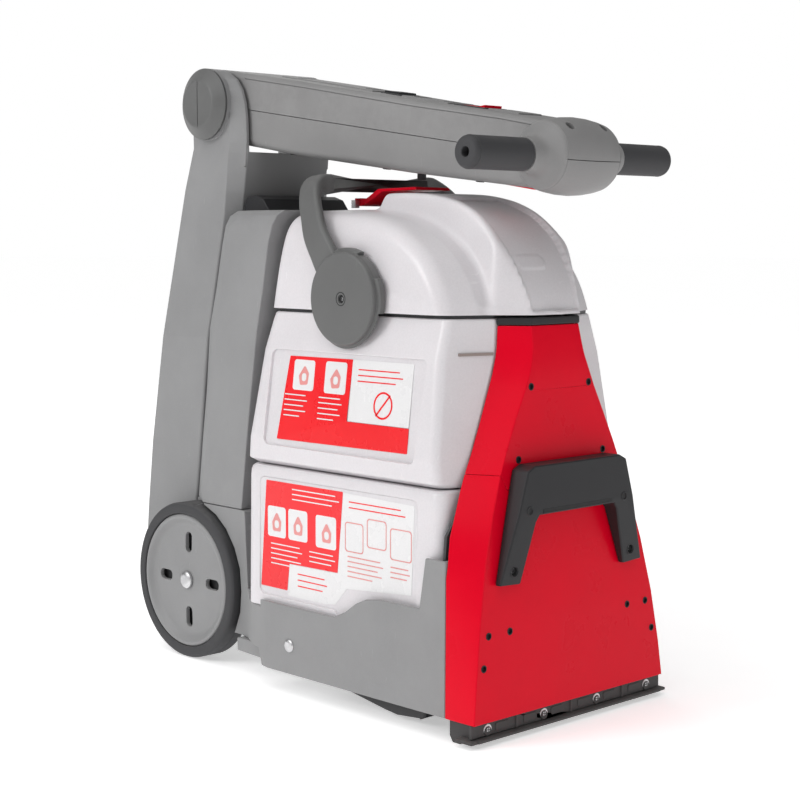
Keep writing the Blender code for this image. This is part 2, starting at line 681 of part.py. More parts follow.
def tank_bail():
    """Carry bail of the upper tank: two arms and a thick crossbar."""
    path = [(112, 213, 424, 17, 4.5), (112, 222, 437, 16, 4.5), (110.5, 236, 457, 14.5, 4.5),
            (105, 246, 475, 14, 5), (98, 258, 492, 13, 5)]

    def arm_ring(x, y, z, deep, thick):
        return [(x - thick, y - deep, z + 2), (x + thick, y - deep, z + 2),
                (x + thick, y + deep, z - 2), (x - thick, y + deep, z - 2)]

    right = [arm_ring(*station) for station in path]
    right.append([(86, 258, 497), (101, 258, 504), (98, 282, 503), (86, 282, 497)])
    bar = [[(x, 258, 497), (x, 260, 517.5), (x, 281, 517.5), (x, 283, 497)] for x in (80, -80)]
    right.append([(84, 258, 497), (93, 260, 515), (92, 281, 515), (84, 283, 497)])
    left = [[(-x, y, z) for x, y, z in ring] for ring in reversed(right)]
    add_part("tank_bail", loft(right + bar + left), GREY, (0, BAIL_Y, BAIL_Z))


def bail_hubs():
    for name, side in (("bail_hub_left", -1), ("bail_hub_right", 1)):
        profile = [(side * 106.5, 46), (side * 106.5, 7), (side * 117, 7), (side * 117, 4),
                   (side * 121, 4), (side * 121, 43.5), (side * 119, BAIL_R), (side * 116.5, BAIL_R),
                   (side * 114, BAIL_R + 4), (side * 108, BAIL_R + 4)]
        item = add_part(name, turned_ring("X", (BAIL_Y, BAIL_Z), profile, 30), DARK,
                        (0, BAIL_Y, BAIL_Z))
        low, high = sorted((side * 107.2, side * 116.8))
        pocket = [(160, 418), (180, 450), (240, 470), (250, 420), (216, 412)]
        shape(item, prism(pocket, "X", low, high))
        notch = []
        for reach, turns in ((BAIL_R + 0.2, (112, 125, 138, 158)), (BAIL_R + 8, (158, 135, 112))):
            for turn in turns:
                t = math.radians(turn)
                notch.append((BAIL_Y + reach * math.cos(t), BAIL_Z + reach * math.sin(t)))
        shape(item, prism(notch, "X", low, high))
        low, high = sorted((side * 100, side * 114.5))
        shape(item, box((low, 130, 340), (high, 250, 383)))


def lid_latch():
    plate = [(264, 486.5), (275, 486.5), (275, 494.5), (266, 494.5), (258, 493.8), (240, 503.5),
             (186, 504.5), (184, 501.5), (234, 500.5), (246, 494), (256, 489.5)]
    item = add_part("lid_latch", prism(plate, "X", -24, 24), RED, (0, 270, 490.5))
    shape(item, disc("X", (270, 490.5), 2 + GAP, -40, 40, 10))
    pin = add_part("latch_pin", disc("X", (270, 490.5), 2, -30, 30, 10), STEEL)
    for side in (-1, 1):
        low, high = sorted((side * 24.4, side * 30))
        shape(pin, box((low, 267, 484.4), (high, 273, 492.5)), "UNION")


# ---------------------------------------------------------------- wheels

def wheels():
    centre = (WHEEL_Y, WHEEL_R)
    for word, side in (("left", -1), ("right", 1)):
        origin = (0, WHEEL_Y, WHEEL_R)
        tyre = [(side * WHEEL_IN, RIM_R + GAP), (side * WHEEL_OUT, RIM_R + GAP),
                (side * WHEEL_OUT, WHEEL_R - 4), (side * (WHEEL_OUT - 3), WHEEL_R),
                (side * WHEEL_IN, WHEEL_R)]
        add_part("tyre_" + word, turned_ring("X", centre, tyre, 32), RUBBER, origin)
        disc_profile = [(side * (WHEEL_IN + 2), AXLE_R + GAP), (side * 111.5, AXLE_R + GAP),
                        (side * 109.5, 60), (side * (WHEEL_OUT - 1), 68),
                        (side * (WHEEL_OUT - 1), RIM_R), (side * (WHEEL_IN + 2), RIM_R),
                        (side * (WHEEL_IN + 2), 67), (side * 105, 60), (side * 105, 15),
                        (side * (WHEEL_IN + 2), 15)]
        wheel = add_part("wheel_" + word, turned_ring("X", centre, disc_profile, 32), GREY,
                         origin)
        low, high = sorted((side * 100, side * 120))
        for i in range(4):
            turn = math.pi / 2 * i
            along = Vector((math.cos(turn), math.sin(turn)))
            across = Vector((-along.y, along.x))
            slot = []
            for reach, half in ((30, -5.5), (52, -5.5), (52, 5.5), (30, 5.5)):
                spot = Vector(centre) + along * reach + across * half
                slot.append((spot.x, spot.y))
            shape(wheel, prism(rounded(slot, 5, 2), "X", low, high))
    cap = [(112.8, AXLE_R), (112.8, 8.5), (114.8, 8.5), (116.6, 5)]
    profile = [(-x, r) for x, r in reversed(cap)] + cap
    add_part("wheel_axle", turned("X", centre, profile, 20), STEEL)


# ---------------------------------------------------------------- lower handle

LOWER_WIDTH = [(345, LOWER_HALF), (560, 68)]
LOWER_FRONT = [(60, 474), (100, 472.5), (166, 467.5), (223, 460), (354, 444.5), (478, 428),
               (560, 426), (597, 424)]
LOWER_INNER = [(60, 474), (166, 467.5), (354, 444), (478, 418), (545, 407), (597, 409)]
LOWER_REAR = [(60, 545), (80, 562), (125, REAR_Y), (155, 563), (226, 554), (345, 532), (506, 504),
              (571, 487), (597, 484)]
LOWER_LEVELS = (60, 80, 100, 125, 155, 166, 226, 345, 354, 478, 506, 545, 571, 597)
COVER_LEVELS_REAR = (81, 125, 155, 226, 345, 503)
INSIDE_TOP = 530.0


def lower_ring(z, inset=0.0, beyond=0.0):
    """Plan of the lower handle at one height, with its front corners bevelled."""
    half = between(LOWER_WIDTH, z) - inset
    front = between(LOWER_FRONT, z) + inset
    middle = between(LOWER_INNER, z) + inset
    rear = between(LOWER_REAR, z) + beyond
    outline = mirrored([(min(57, half - 9), middle), (half, front), (half, rear)])
    return [(x, y, z) for x, y in outline]


def lower_handle():
    item = add_part("lower_handle", loft([lower_ring(z) for z in LOWER_LEVELS]), GREY)
    shape(item, disc("X", (PIVOT_Y, PIVOT_Z), EAR_R, -EAR_OUT, EAR_OUT, 32), "UNION")
    ear = [(409, 560), (409, 580), (412.5, 604), (424, 622), (441, 632), (460, 635), (460, 560)]
    for side in (-1, 1):
        low, high = sorted((side * EAR_IN, side * 64))
        shape(item, prism(ear, "X", low, high), "UNION")
    shape(item, prism([(340, 541), (424, 546), (520, 530), (560, 700), (340, 700)], "X",
                      -EAR_IN, EAR_IN))
    inside = [lower_ring(z, WALL, 60) for z in LOWER_LEVELS if z < INSIDE_TOP]
    inside[0] = [(x, y, z + 6) for x, y, z in inside[0]]
    shape(item, loft(inside))
    shape(item, disc("X", (PIVOT_Y, PIVOT_Z), PIVOT_PIN_R + GAP, -100, 100, 20))


def lower_handle_cover():
    rings = []
    for z in COVER_LEVELS_REAR:
        half = between(LOWER_WIDTH, z) - WALL - 0.5
        rear = between(LOWER_REAR, z) - 0.8
        rings.append([(-half, rear - WALL, z), (half, rear - WALL, z), (half, rear, z),
                      (-half, rear, z)])
    item = add_part("lower_handle_cover", loft(rings), GREY)
    shape(item, disc("Y", (52, 180), 6 + GAP, 540, 580, 16))


def pivot():
    pin = (PIVOT_Y, PIVOT_Z)
    add_part("pivot_pin", disc("X", pin, PIVOT_PIN_R, 0.6 - EAR_OUT, EAR_OUT - 0.6, 20), STEEL)
    for word, side in (("left", -1), ("right", 1)):
        cap = [(side * (EAR_OUT + GAP), EAR_R), (side * 83, 26), (side * 84, 25)]
        add_part("pivot_cap_" + word, turned("X", pin, cap, 32), DARK)


# ---------------------------------------------------------------- folding upper handle

HANDLE_LINE = Vector((GRIP_Y - PIVOT_Y, GRIP_Z - PIVOT_Z))
HANDLE_LENGTH = HANDLE_LINE.length
HANDLE_DIR = HANDLE_LINE.normalized()
HANDLE_UP = Vector((HANDLE_DIR.y, -HANDLE_DIR.x))
HANDLE_STATIONS = [(0, 52, 38, 38), (130, 52, 37, 39), (290, 45, 33.5, 36.5), (400, 37.5, 33, 33),
                   (HANDLE_LENGTH - 2, 35, 31, 31)]


def handle_point(along, up):
    """A point of the folded handle from its distance from the pivot and above the centreline."""
    spot = Vector((PIVOT_Y, PIVOT_Z)) + HANDLE_DIR * along + HANDLE_UP * up
    return spot.x, spot.y


def handle_beam(inset):
    rings = []
    for along, half, up, down in HANDLE_STATIONS:
        half, up, down = half - inset, up - inset, down - inset
        corner = 8.0
        section = [(half - corner, -down), (half, corner - down), (half, up - corner),
                   (half - corner, up), (corner - half, up), (-half, up - corner),
                   (-half, corner - down), (corner - half, -down)]
        rings.append([(x, *handle_point(along, t)) for x, t in section])
    return loft(rings)


def hub_solid(inset):
    profile = [(-37, 31.5), (-20, 35), (0, 36), (20, 35), (37, 31.5)]
    if inset:
        profile = [(-34, 28.5), (-20, 32), (0, 33), (20, 32), (34, 28.5)]
    return turned("X", (GRIP_Y, GRIP_Z), profile, ROUND)


def parting(side):
    """The half space above or below the handle's parting line."""
    tall = 120 * side
    gap = 0.15 * side
    corners = [(-120, gap), (HANDLE_LENGTH, gap), (HANDLE_LENGTH + 80, gap),
               (HANDLE_LENGTH + 80, tall), (-120, tall)]
    return prism([handle_point(s, t) for s, t in corners], "X", -120, 120)


def handle_shell(name, side):
    item = add_part(name, handle_beam(0), GREY, (0, PIVOT_Y, PIVOT_Z))
    pin = (PIVOT_Y, PIVOT_Z)
    shape(item, disc("X", pin, 38, -HANDLE_HALF, HANDLE_HALF, 32), "UNION")
    shape(item, hub_solid(0), "UNION")
    shape(item, handle_beam(WALL))
    shape(item, disc("X", pin, 35, WALL - HANDLE_HALF, HANDLE_HALF - WALL, 32))
    shape(item, hub_solid(WALL))
    shape(item, disc("X", pin, PIVOT_PIN_R + GAP, -80, 80, 20))
    shape(item, disc("X", (GRIP_Y, GRIP_Z), 12 + GAP, -80, 80, 24))
    shape(item, parting(side), "INTERSECT")
    return item


def slab(along, up, half):
    """A block on the folded handle: (from, to) along it, (from, to) above its centreline."""
    corners = [(along[0], up[0]), (along[1], up[0]), (along[1], up[1]), (along[0], up[1])]
    return prism([handle_point(s, t) for s, t in corners], "X", -half, half)


def upper_handle():
    top = handle_shell("handle_top_shell", 1)
    shape(top, slab((318.5, 357.5), (20, 50), 12.5))
    shape(top, slab((213.5, 236.5), (20, 50), 12.5))
    bottom = handle_shell("handle_bottom_shell", -1)
    shape(bottom, slab((385, 430), (-50, -20), 10.5))
    shape(bottom, disc("Z", (0, 201), 4.5 + GAP, 500, 530, 14))


def switches():
    rocker_axis = handle_point(338, 28)
    outline = [(319.2, 34.2), (338, 32.6), (355.8, 37), (354, 26), (322, 26)]
    item = add_part("power_switch", prism([handle_point(s, t) for s, t in outline], "X", -12, 12),
                    RED, (0, *rocker_axis))
    shape(item, disc("X", rocker_axis, 2, -20, 20, 10))
    add_part("fold_lock_button", slab((214, 236), (28, 38), 12), BLACK,
             (0, *handle_point(225, 33)))
    item = add_part("spray_trigger", slab((385.6, 428.6), (-34.5, -27), 10), RED,
                    (0, *handle_point(387.5, -27)))
    shape(item, slab((386, 390), (-28, -22), 10), "UNION")
    add_part("fold_bumper", disc("Z", (0, 201), 4.5, 512, 522, 14), RUBBER)


def grips():
    centre = (GRIP_Y, GRIP_Z)
    tube = [(-132, 12), (132, 12), (132, 10), (-132, 10)]
    add_part("grip_tube", turned_ring("X", centre, tube, 24), STEEL)
    for word, side in (("left", -1), ("right", 1)):
        cheek = [(side * 37.4, 12 + GAP), (side * COLLAR_X, 12 + GAP), (side * COLLAR_X, 16),
                 (side * 50, 17), (side * 43, 21), (side * 39.5, 29), (side * 37.4, 31)]
        add_part("grip_collar_" + word, turned_ring("X", centre, cheek, ROUND), GREY)
        grip = [(side * (COLLAR_X + 0.3), 12 + GAP), (side * 132.4, 12 + GAP), (side * 132.4, 4.5),
                (side * GRIP_END, 4.5), (side * GRIP_END, 11.5), (side * (GRIP_END - 3.5), GRIP_R),
                (side * (COLLAR_X + 2), GRIP_R), (side * (COLLAR_X + 0.3), 14)]
        add_part("grip_" + word, turned_ring("X", centre, grip, 24), RUBBER)


def cord_fittings():
    """Gland where the cord enters the back of the lower handle."""
    gland = [(545, 6), (560.6, 6), (560.6, 9), (562.6, 9), (565.6, 6.5)]
    item = add_part("cord_gland", turned("Y", (52, 180), [(y, r) for y, r in gland], 16), BLACK)
    shape(item, disc("Y", (52, 180), 4, 530, 580, 12))


def build():
    base_housing()
    bottom_pan()
    brush_arm()
    arm_pins()
    brush_set()
    brush_motor()
    drive_belt()
    pump()
    spray_bar()
    red_covers()
    carry_handle()
    nozzle()
    suction_duct()
    front_frame()
    rim_band()
    column_housing()
    vacuum_motor()
    dirty_tank()
    clean_tank()
    clean_tank_fittings()
    tank_lid()
    lid_gasket()
    float_valve()
    inlet_pipe()
    tank_bail()
    bail_hubs()
    lid_latch()
    wheels()
    lower_handle()
    lower_handle_cover()
    pivot()
    upper_handle()
    switches()
    grips()
    cord_fittings()


build()
bpy.context.view_layer.update()
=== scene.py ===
"""Looks of an upright two-tank carpet extractor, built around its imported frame.

Plans and profiles are in millimetres, laid out as the machine is measured: x across it, y back
from the screw plane of its nozzle, z up from the floor. Pieces are scaled to metres and moved
into the row frame as they are made.
"""

import json
import math

import bmesh
import bpy
import numpy as np
from mathutils import Matrix, Vector


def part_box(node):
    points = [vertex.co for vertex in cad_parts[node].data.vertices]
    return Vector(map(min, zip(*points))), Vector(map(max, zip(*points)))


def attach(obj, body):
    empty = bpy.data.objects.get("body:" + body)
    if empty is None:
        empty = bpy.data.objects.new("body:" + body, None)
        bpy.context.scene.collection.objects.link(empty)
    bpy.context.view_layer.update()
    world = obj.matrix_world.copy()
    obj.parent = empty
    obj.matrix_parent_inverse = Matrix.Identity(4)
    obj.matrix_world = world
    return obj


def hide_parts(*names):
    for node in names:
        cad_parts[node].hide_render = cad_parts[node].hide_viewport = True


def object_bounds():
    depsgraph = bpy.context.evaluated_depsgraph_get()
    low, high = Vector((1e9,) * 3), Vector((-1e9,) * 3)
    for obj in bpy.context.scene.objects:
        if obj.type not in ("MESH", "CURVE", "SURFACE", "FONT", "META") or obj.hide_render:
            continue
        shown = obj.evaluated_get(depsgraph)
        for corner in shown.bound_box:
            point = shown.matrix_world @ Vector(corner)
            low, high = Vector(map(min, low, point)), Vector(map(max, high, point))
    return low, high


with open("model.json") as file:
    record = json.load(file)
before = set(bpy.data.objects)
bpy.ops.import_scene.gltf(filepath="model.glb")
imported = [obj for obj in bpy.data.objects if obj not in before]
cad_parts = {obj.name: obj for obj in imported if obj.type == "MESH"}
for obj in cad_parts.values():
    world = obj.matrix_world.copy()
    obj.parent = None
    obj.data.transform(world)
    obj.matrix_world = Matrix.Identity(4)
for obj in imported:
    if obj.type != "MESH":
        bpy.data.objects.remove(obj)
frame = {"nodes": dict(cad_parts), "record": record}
CAD_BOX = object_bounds()

MM = 0.001
NODES = frame["nodes"]
BODIES = frame["record"]["behaviour"]["bodies"]
BODY_OF = {node: body for body, members in BODIES.items() for node in members}
SHIFT_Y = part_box("nozzle_plate")[0].y + 3 * MM

# driving places and sizes, in millimetres
WHEEL_Y, WHEEL_Z = 448.0, 84.5
PIVOT_Y, PIVOT_Z, EAR_R, EAR_OUT = 460.0, 597.0, 38.0, 73.0
GRIP_Y, GRIP_Z, GRIP_R, GRIP_END = 8.0, 529.0, 15.0, 137.4
BAIL_Y, BAIL_Z, BAIL_R = 188.0, 396.0, 45.0
LID_BOTTOM = 383.6
ARM_PIN_Y, ARM_PIN_Z = 250.0, 50.0
BRUSH_Y, BRUSH_Z = 100.0, 28.5
CAP_PLACE = (70.0, 90.0)
BUMPER_PLACE = (0.0, 201.0)

SIDES = (("left", -1), ("right", 1))


# ---------------------------------------------------------------- outlines and solids

def place(axis, along, a, b):
    """A point from its place along an axis and its two coordinates across it."""
    if axis == "X":
        return (along, a, b)
    if axis == "Y":
        return (a, along, b)
    return (a, b, along)


def join_rows(bm, rows):
    """Faces between each row of points and the next."""
    count = len(rows[0])
    for low, high in zip(rows, rows[1:]):
        for i in range(count):
            j = (i + 1) % count
            bm.faces.new((low[i], low[j], high[j], high[i]))


def loft(rings, capped=True):
    """A solid through rings that all have the same number of points."""
    bm = bmesh.new()
    rows = [[bm.verts.new(p) for p in ring] for ring in rings]
    join_rows(bm, rows)
    if capped:
        bm.faces.new(list(reversed(rows[0])))
        bm.faces.new(rows[-1])
    return bm


def looped(rings):
    """A closed ring-like solid: the last ring joins the first."""
    bm = bmesh.new()
    rows = [[bm.verts.new(p) for p in ring] for ring in rings]
    join_rows(bm, rows + rows[:1])
    return bm


def prism(points, axis, start, stop):
    return loft([[place(axis, along, a, b) for a, b in points] for along in (start, stop)])


def box(low, high):
    outline = [(low[0], low[1]), (high[0], low[1]), (high[0], high[1]), (low[0], high[1])]
    return prism(outline, "Z", low[2], high[2])


def circle(centre, radius, count):
    return [(centre[0] + radius * math.cos(t), centre[1] + radius * math.sin(t))
            for t in arc(count)]


def turned(axis, centre, profile, count=64):
    """A solid of revolution from (along, radius) points, capped at both ends."""
    return loft([[place(axis, along, a, b) for a, b in circle(centre, radius, count)]
                 for along, radius in profile])


def turned_ring(axis, centre, profile, count=64):
    """A ring of revolution from a closed loop of (along, radius) points."""
    return looped([[place(axis, along, a, b) for a, b in circle(centre, radius, count)]
                   for along, radius in profile])


def side_turned(side, centre, profile, count=96, make=turned_ring):
    """A turned ring or solid on one side, from (distance out, radius) points."""
    return make("X", centre, [(side * x, r) for x, r in profile], count)


def rounded(points, radius, steps=5):
    """An outline with each corner turned into an arc; radius is one value or one per corner."""
    radii = radius if isinstance(radius, (list, tuple)) else [radius] * len(points)
    result = []
    for i, r in enumerate(radii):
        corner = Vector(points[i])
        before = (Vector(points[i - 1]) - corner).normalized()
        after = (Vector(points[(i + 1) % len(points)]) - corner).normalized()
        if r <= 0:
            result.append(tuple(corner))
            continue
        half = before.angle(after) / 2
        reach = r / math.tan(half)
        centre = corner + (before + after).normalized() * (r / math.sin(half))
        first = corner + before * reach - centre
        last = corner + after * reach - centre
        turn = first.angle_signed(last)
        for k in range(steps + 1):
            a = -turn * k / steps
            result.append((centre.x + first.x * math.cos(a) - first.y * math.sin(a),
                           centre.y + first.x * math.sin(a) + first.y * math.cos(a)))
    return result


def arc(count):
    """Evenly spaced angles round a full turn."""
    return [2 * math.pi * k / count for k in range(count)]


def side_span(side, near, far):
    """Two distances out from the middle, as lower and higher x on one side."""
    return sorted((side * near, side * far))


def mirrored(half):
    """A whole plan outline from its right half, listed front to back."""
    return list(half) + [(-x, y) for x, y in reversed(half)]


def between(table, value):
    """Straight-line reading of a short table of (value, result) design points."""
    return float(np.interp(value, [v for v, _ in table], [r for _, r in table]))


def smooth_line(points, count):
    """Evenly spaced points on a Catmull-Rom curve through design points."""
    spots = [Vector(p) for p in points]
    spots = [2 * spots[0] - spots[1], *spots, 2 * spots[-1] - spots[-2]]
    spans = len(spots) - 3
    result = []
    for k in range(count):
        at = k * spans / (count - 1)
        i = min(int(at), spans - 1)
        t = at - i
        p0, p1, p2, p3 = spots[i:i + 4]
        result.append(0.5 * (2 * p1 + (p2 - p0) * t + (2 * p0 - 5 * p1 + 4 * p2 - p3) * t * t
                             + (3 * p1 - p0 - 3 * p2 + p3) * t ** 3))
    return result


# ---------------------------------------------------------------- pieces

def add_object(name, data):
    item = bpy.data.objects.new(name, data)
    bpy.context.scene.collection.objects.link(item)
    return item


def new_mesh(name, bm):
    """Moves a millimetre mesh into the row frame and makes an object of it."""
    bmesh.ops.scale(bm, verts=bm.verts, vec=(MM, MM, MM))
    bmesh.ops.translate(bm, verts=bm.verts, vec=(0, SHIFT_Y, 0))
    bmesh.ops.recalc_face_normals(bm, faces=bm.faces)
    mesh = bpy.data.meshes.new(name)
    bm.to_mesh(mesh)
    bm.free()
    return add_object(name, mesh)


def settle(item):
    """Makes the result of a piece's modifiers its own mesh."""
    bpy.context.view_layer.update()
    graph = bpy.context.evaluated_depsgraph_get()
    mesh = bpy.data.meshes.new_from_object(item.evaluated_get(graph))
    item.modifiers.clear()
    item.data = mesh


def shape(item, bm, operation="DIFFERENCE"):
    """Cuts, joins or intersects a piece with a solid that is then removed."""
    guide = new_mesh("guide", bm)
    change = item.modifiers.new("shape", "BOOLEAN")
    change.operation = operation
    change.solver = "EXACT"
    change.object = guide
    settle(item)
    bpy.data.objects.remove(guide, do_unlink=True)


def soften(item, width=0.0, angle=35.0, segments=3):
    """Smooth shading with rounded edges."""
    item.data.shade_smooth()
    if width:
        edge = item.modifiers.new("edges", "BEVEL")
        edge.width = width * MM
        edge.segments = segments
        edge.angle_limit = math.radians(angle)
        edge.use_clamp_overlap = False
        edge.miter_outer = "MITER_ARC"
    else:
        item.data.set_sharp_from_angle(angle=math.radians(angle))
    weighted = item.modifiers.new("normals", "WEIGHTED_NORMAL")
    weighted.keep_sharp = True


def finished(item, material, body, replaces=()):
    """Gives a piece its material and its place on a body."""
    item.data.materials.clear()
    item.data.materials.append(material)
    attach(item, body)
    if replaces:
        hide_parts(*replaces)
    return item


def piece(name, bm, material, node, width=0.0, angle=35.0, replaces=True, segments=3):
    """A piece that belongs with one CAD node and by default stands for it."""
    item = new_mesh(name, bm)
    soften(item, width, angle, segments)
    return finished(item, material, BODY_OF[node], (node,) if replaces else ())


def detail(name, bm, material, node, angle=35.0):
    """A small piece beside a CAD node, which it doesn't replace."""
    return piece(name, bm, material, node, angle=angle, replaces=False)


def flat_detail(name, bm, material, node):
    """A detail whose faces all stay flat."""
    return finished(new_mesh(name, bm), material, BODY_OF[node])


def refined(node, material, width, angle=33.0, segments=3):
    """A copy of a CAD node with rounded edges, each no wider than its neighbours leave room for."""
    bm = bmesh.new()
    bm.from_mesh(NODES[node].data)
    bmesh.ops.remove_doubles(bm, verts=bm.verts, dist=2e-6)
    bmesh.ops.dissolve_limit(bm, angle_limit=math.radians(0.12), verts=bm.verts, edges=bm.edges)
    weight = bm.edges.layers.float.new("bevel_weight_edge")
    full = width * MM
    for edge in bm.edges:
        if len(edge.link_faces) == 2 and edge.calc_face_angle(0) > math.radians(angle):
            room = []
            for loop in edge.link_loops:
                room += [loop.link_loop_prev.edge.calc_length(),
                         loop.link_loop_next.edge.calc_length()]
            edge[weight] = min(1.0, 0.42 * min(room) / full)
    mesh = bpy.data.meshes.new(node + "_shell")
    bm.to_mesh(mesh)
    bm.free()
    item = add_object(node + "_shell", mesh)
    mesh.shade_smooth()
    change = item.modifiers.new("edges", "BEVEL")
    change.limit_method = "WEIGHT"
    change.width = full
    change.segments = segments
    change.use_clamp_overlap = False
    weighted = item.modifiers.new("normals", "WEIGHTED_NORMAL")
    weighted.keep_sharp = True
    return finished(item, material, BODY_OF[node], (node,))


def kept(node, material):
    """A CAD node that stays as it is, in a better material."""
    mesh = NODES[node].data
    mesh.materials.clear()
    mesh.materials.append(material)


# ---------------------------------------------------------------- materials

class Nodes:
    """A short way to add and join shader nodes."""

    def __init__(self, material):
        self.tree = material.node_tree
        self.shader = self.tree.nodes["Principled BSDF"]
        self.coords = self.add("ShaderNodeTexCoord").outputs["Object"]

    def add(self, kind, **settings):
        node = self.tree.nodes.new(kind)
        for name, value in settings.items():
            setattr(node, name, value)
        return node

    def link(self, source, target):
        self.tree.links.new(source, target)

    def stretched(self, scale, turn=(0, 0, 0)):
        mapping = self.add("ShaderNodeMapping")
        mapping.inputs["Scale"].default_value = scale
        mapping.inputs["Rotation"].default_value = turn
        self.link(self.coords, mapping.inputs["Vector"])
        return mapping.outputs["Vector"]

    def noise(self, scale, detail=3.0, rough=0.55, vector=None):
        noise = self.add("ShaderNodeTexNoise")
        noise.inputs["Scale"].default_value = scale
        noise.inputs["Detail"].default_value = detail
        noise.inputs["Roughness"].default_value = rough
        self.link(vector or self.coords, noise.inputs["Vector"])
        return noise.outputs["Fac"]

    def ranged(self, value, low, high, first, last):
        """Maps a value's range low..high to first..last."""
        ranged = self.add("ShaderNodeMapRange")
        for name, number in (("From Min", low), ("From Max", high), ("To Min", first),
                             ("To Max", last)):
            ranged.inputs[name].default_value = number
        self.link(value, ranged.inputs["Value"])
        return ranged.outputs["Result"]

    def maths(self, operation, a, b):
        node = self.add("ShaderNodeMath", operation=operation)
        for socket, value in zip(node.inputs, (a, b)):
            if isinstance(value, (int, float)):
                socket.default_value = value
            else:
                self.link(value, socket)
        return node.outputs["Value"]

    def mixed(self, share, a, b):
        """A colour between a and b, which are colours or colour outputs."""
        mix = self.add("ShaderNodeMix", data_type="RGBA")
        self.link(share, mix.inputs["Factor"])
        for socket, colour in ((mix.inputs[6], a), (mix.inputs[7], b)):
            if isinstance(colour, tuple):
                socket.default_value = (*colour, 1.0)
            else:
                self.link(colour, socket)
        return mix.outputs[2]

    def bump(self, height, strength, distance, below=None):
        bump = self.add("ShaderNodeBump")
        bump.inputs["Strength"].default_value = strength
        bump.inputs["Distance"].default_value = distance * MM
        self.link(height, bump.inputs["Height"])
        if below:
            self.link(below, bump.inputs["Normal"])
        return bump.outputs["Normal"]


def shade(colour, factor):
    return tuple(min(1.0, c * factor) for c in colour)


def surface(name, colour, roughness, grain=0.25, grain_size=1100.0, mottle=0.07, scuffs=0.35,
            wear=0.35, dust=0.12, constants=()):
    """Moulded plastic or rubber: fine grain, soft blotches, hair scuffs, worn edges and dust."""
    material = bpy.data.materials.new(name)
    material.use_nodes = True
    n = Nodes(material)
    blotch = n.noise(16.0, 5.0, 0.6)
    fine = n.noise(grain_size, 2.0, 0.7)
    tint = n.mixed(n.ranged(blotch, 0.3, 0.7, 0.0, 1.0), shade(colour, 1 - mottle),
                   shade(colour, 1 + mottle))
    tint = n.mixed(n.ranged(fine, 0.35, 0.65, 0.0, 0.25), tint, shade(colour, 1.18))
    hair = n.noise(1.0, 2.0, 0.5, n.stretched((35, 420, 60), (0.5, 0.2, 0.7)))
    hair = n.ranged(hair, 0.68, 0.74, 0.0, 1.0)
    patches = n.ranged(n.noise(22.0, 3.0), 0.5, 0.62, 0.0, scuffs)
    marks = n.maths("MULTIPLY", hair, patches)
    tint = n.mixed(marks, tint, shade(colour, 1.5))
    edge = n.add("ShaderNodeNewGeometry")
    worn = n.ranged(edge.outputs["Pointiness"], 0.53, 0.62, 0.0, wear)
    worn = n.maths("MULTIPLY", worn, n.ranged(n.noise(90.0, 4.0), 0.4, 0.6, 0.2, 1.0))
    tint = n.mixed(worn, tint, shade(colour, 1.45))
    split = n.add("ShaderNodeSeparateXYZ")
    n.link(edge.outputs["Normal"], split.inputs[0])
    settled = n.ranged(split.outputs["Z"], 0.5, 1.0, 0.0, dust)
    settled = n.maths("MULTIPLY", settled, n.ranged(n.noise(60.0, 6.0, 0.7), 0.35, 0.65, 0.3, 1.0))
    tint = n.mixed(settled, tint, (0.62, 0.6, 0.58))
    n.link(tint, n.shader.inputs["Base Color"])
    rough = n.ranged(blotch, 0.3, 0.7, roughness - 0.05, roughness + 0.06)
    rough = n.maths("ADD", rough, n.maths("MULTIPLY", marks, 0.2))
    rough = n.maths("ADD", rough, n.maths("MULTIPLY", settled, 0.5))
    n.link(rough, n.shader.inputs["Roughness"])
    wavy = n.bump(n.noise(38.0, 2.0), 0.06, 1.2)
    n.link(n.bump(fine, grain, 0.12, wavy), n.shader.inputs["Normal"])
    for socket, value in constants:
        n.shader.inputs[socket].default_value = value
    return material


def metal(name, colour, roughness, across=(1, 1, 1)):
    """Plated or brushed metal with fine lines, dull spots and darker stains."""
    material = bpy.data.materials.new(name)
    material.use_nodes = True
    n = Nodes(material)
    lines = n.noise(1.0, 3.0, 0.6, n.stretched(tuple(900 * a for a in across)))
    spots = n.noise(70.0, 4.0, 0.65)
    tint = n.mixed(n.ranged(spots, 0.4, 0.7, 0.0, 0.7), colour, shade(colour, 0.62))
    tint = n.mixed(n.ranged(lines, 0.3, 0.7, 0.0, 0.35), tint, shade(colour, 1.25))
    n.link(tint, n.shader.inputs["Base Color"])
    n.link(n.ranged(spots, 0.3, 0.75, roughness - 0.08, roughness + 0.22),
           n.shader.inputs["Roughness"])
    n.link(n.bump(lines, 0.15, 0.05), n.shader.inputs["Normal"])
    n.shader.inputs["Metallic"].default_value = 1.0
    return material


GLOSS = (("Specular IOR Level", 0.12),)
DIM = (("Specular IOR Level", 0.28),)
CLOUDY = (("Subsurface Weight", 0.25), ("Subsurface Radius", (0.006, 0.005, 0.005)),
          ("Subsurface Scale", 1.0))

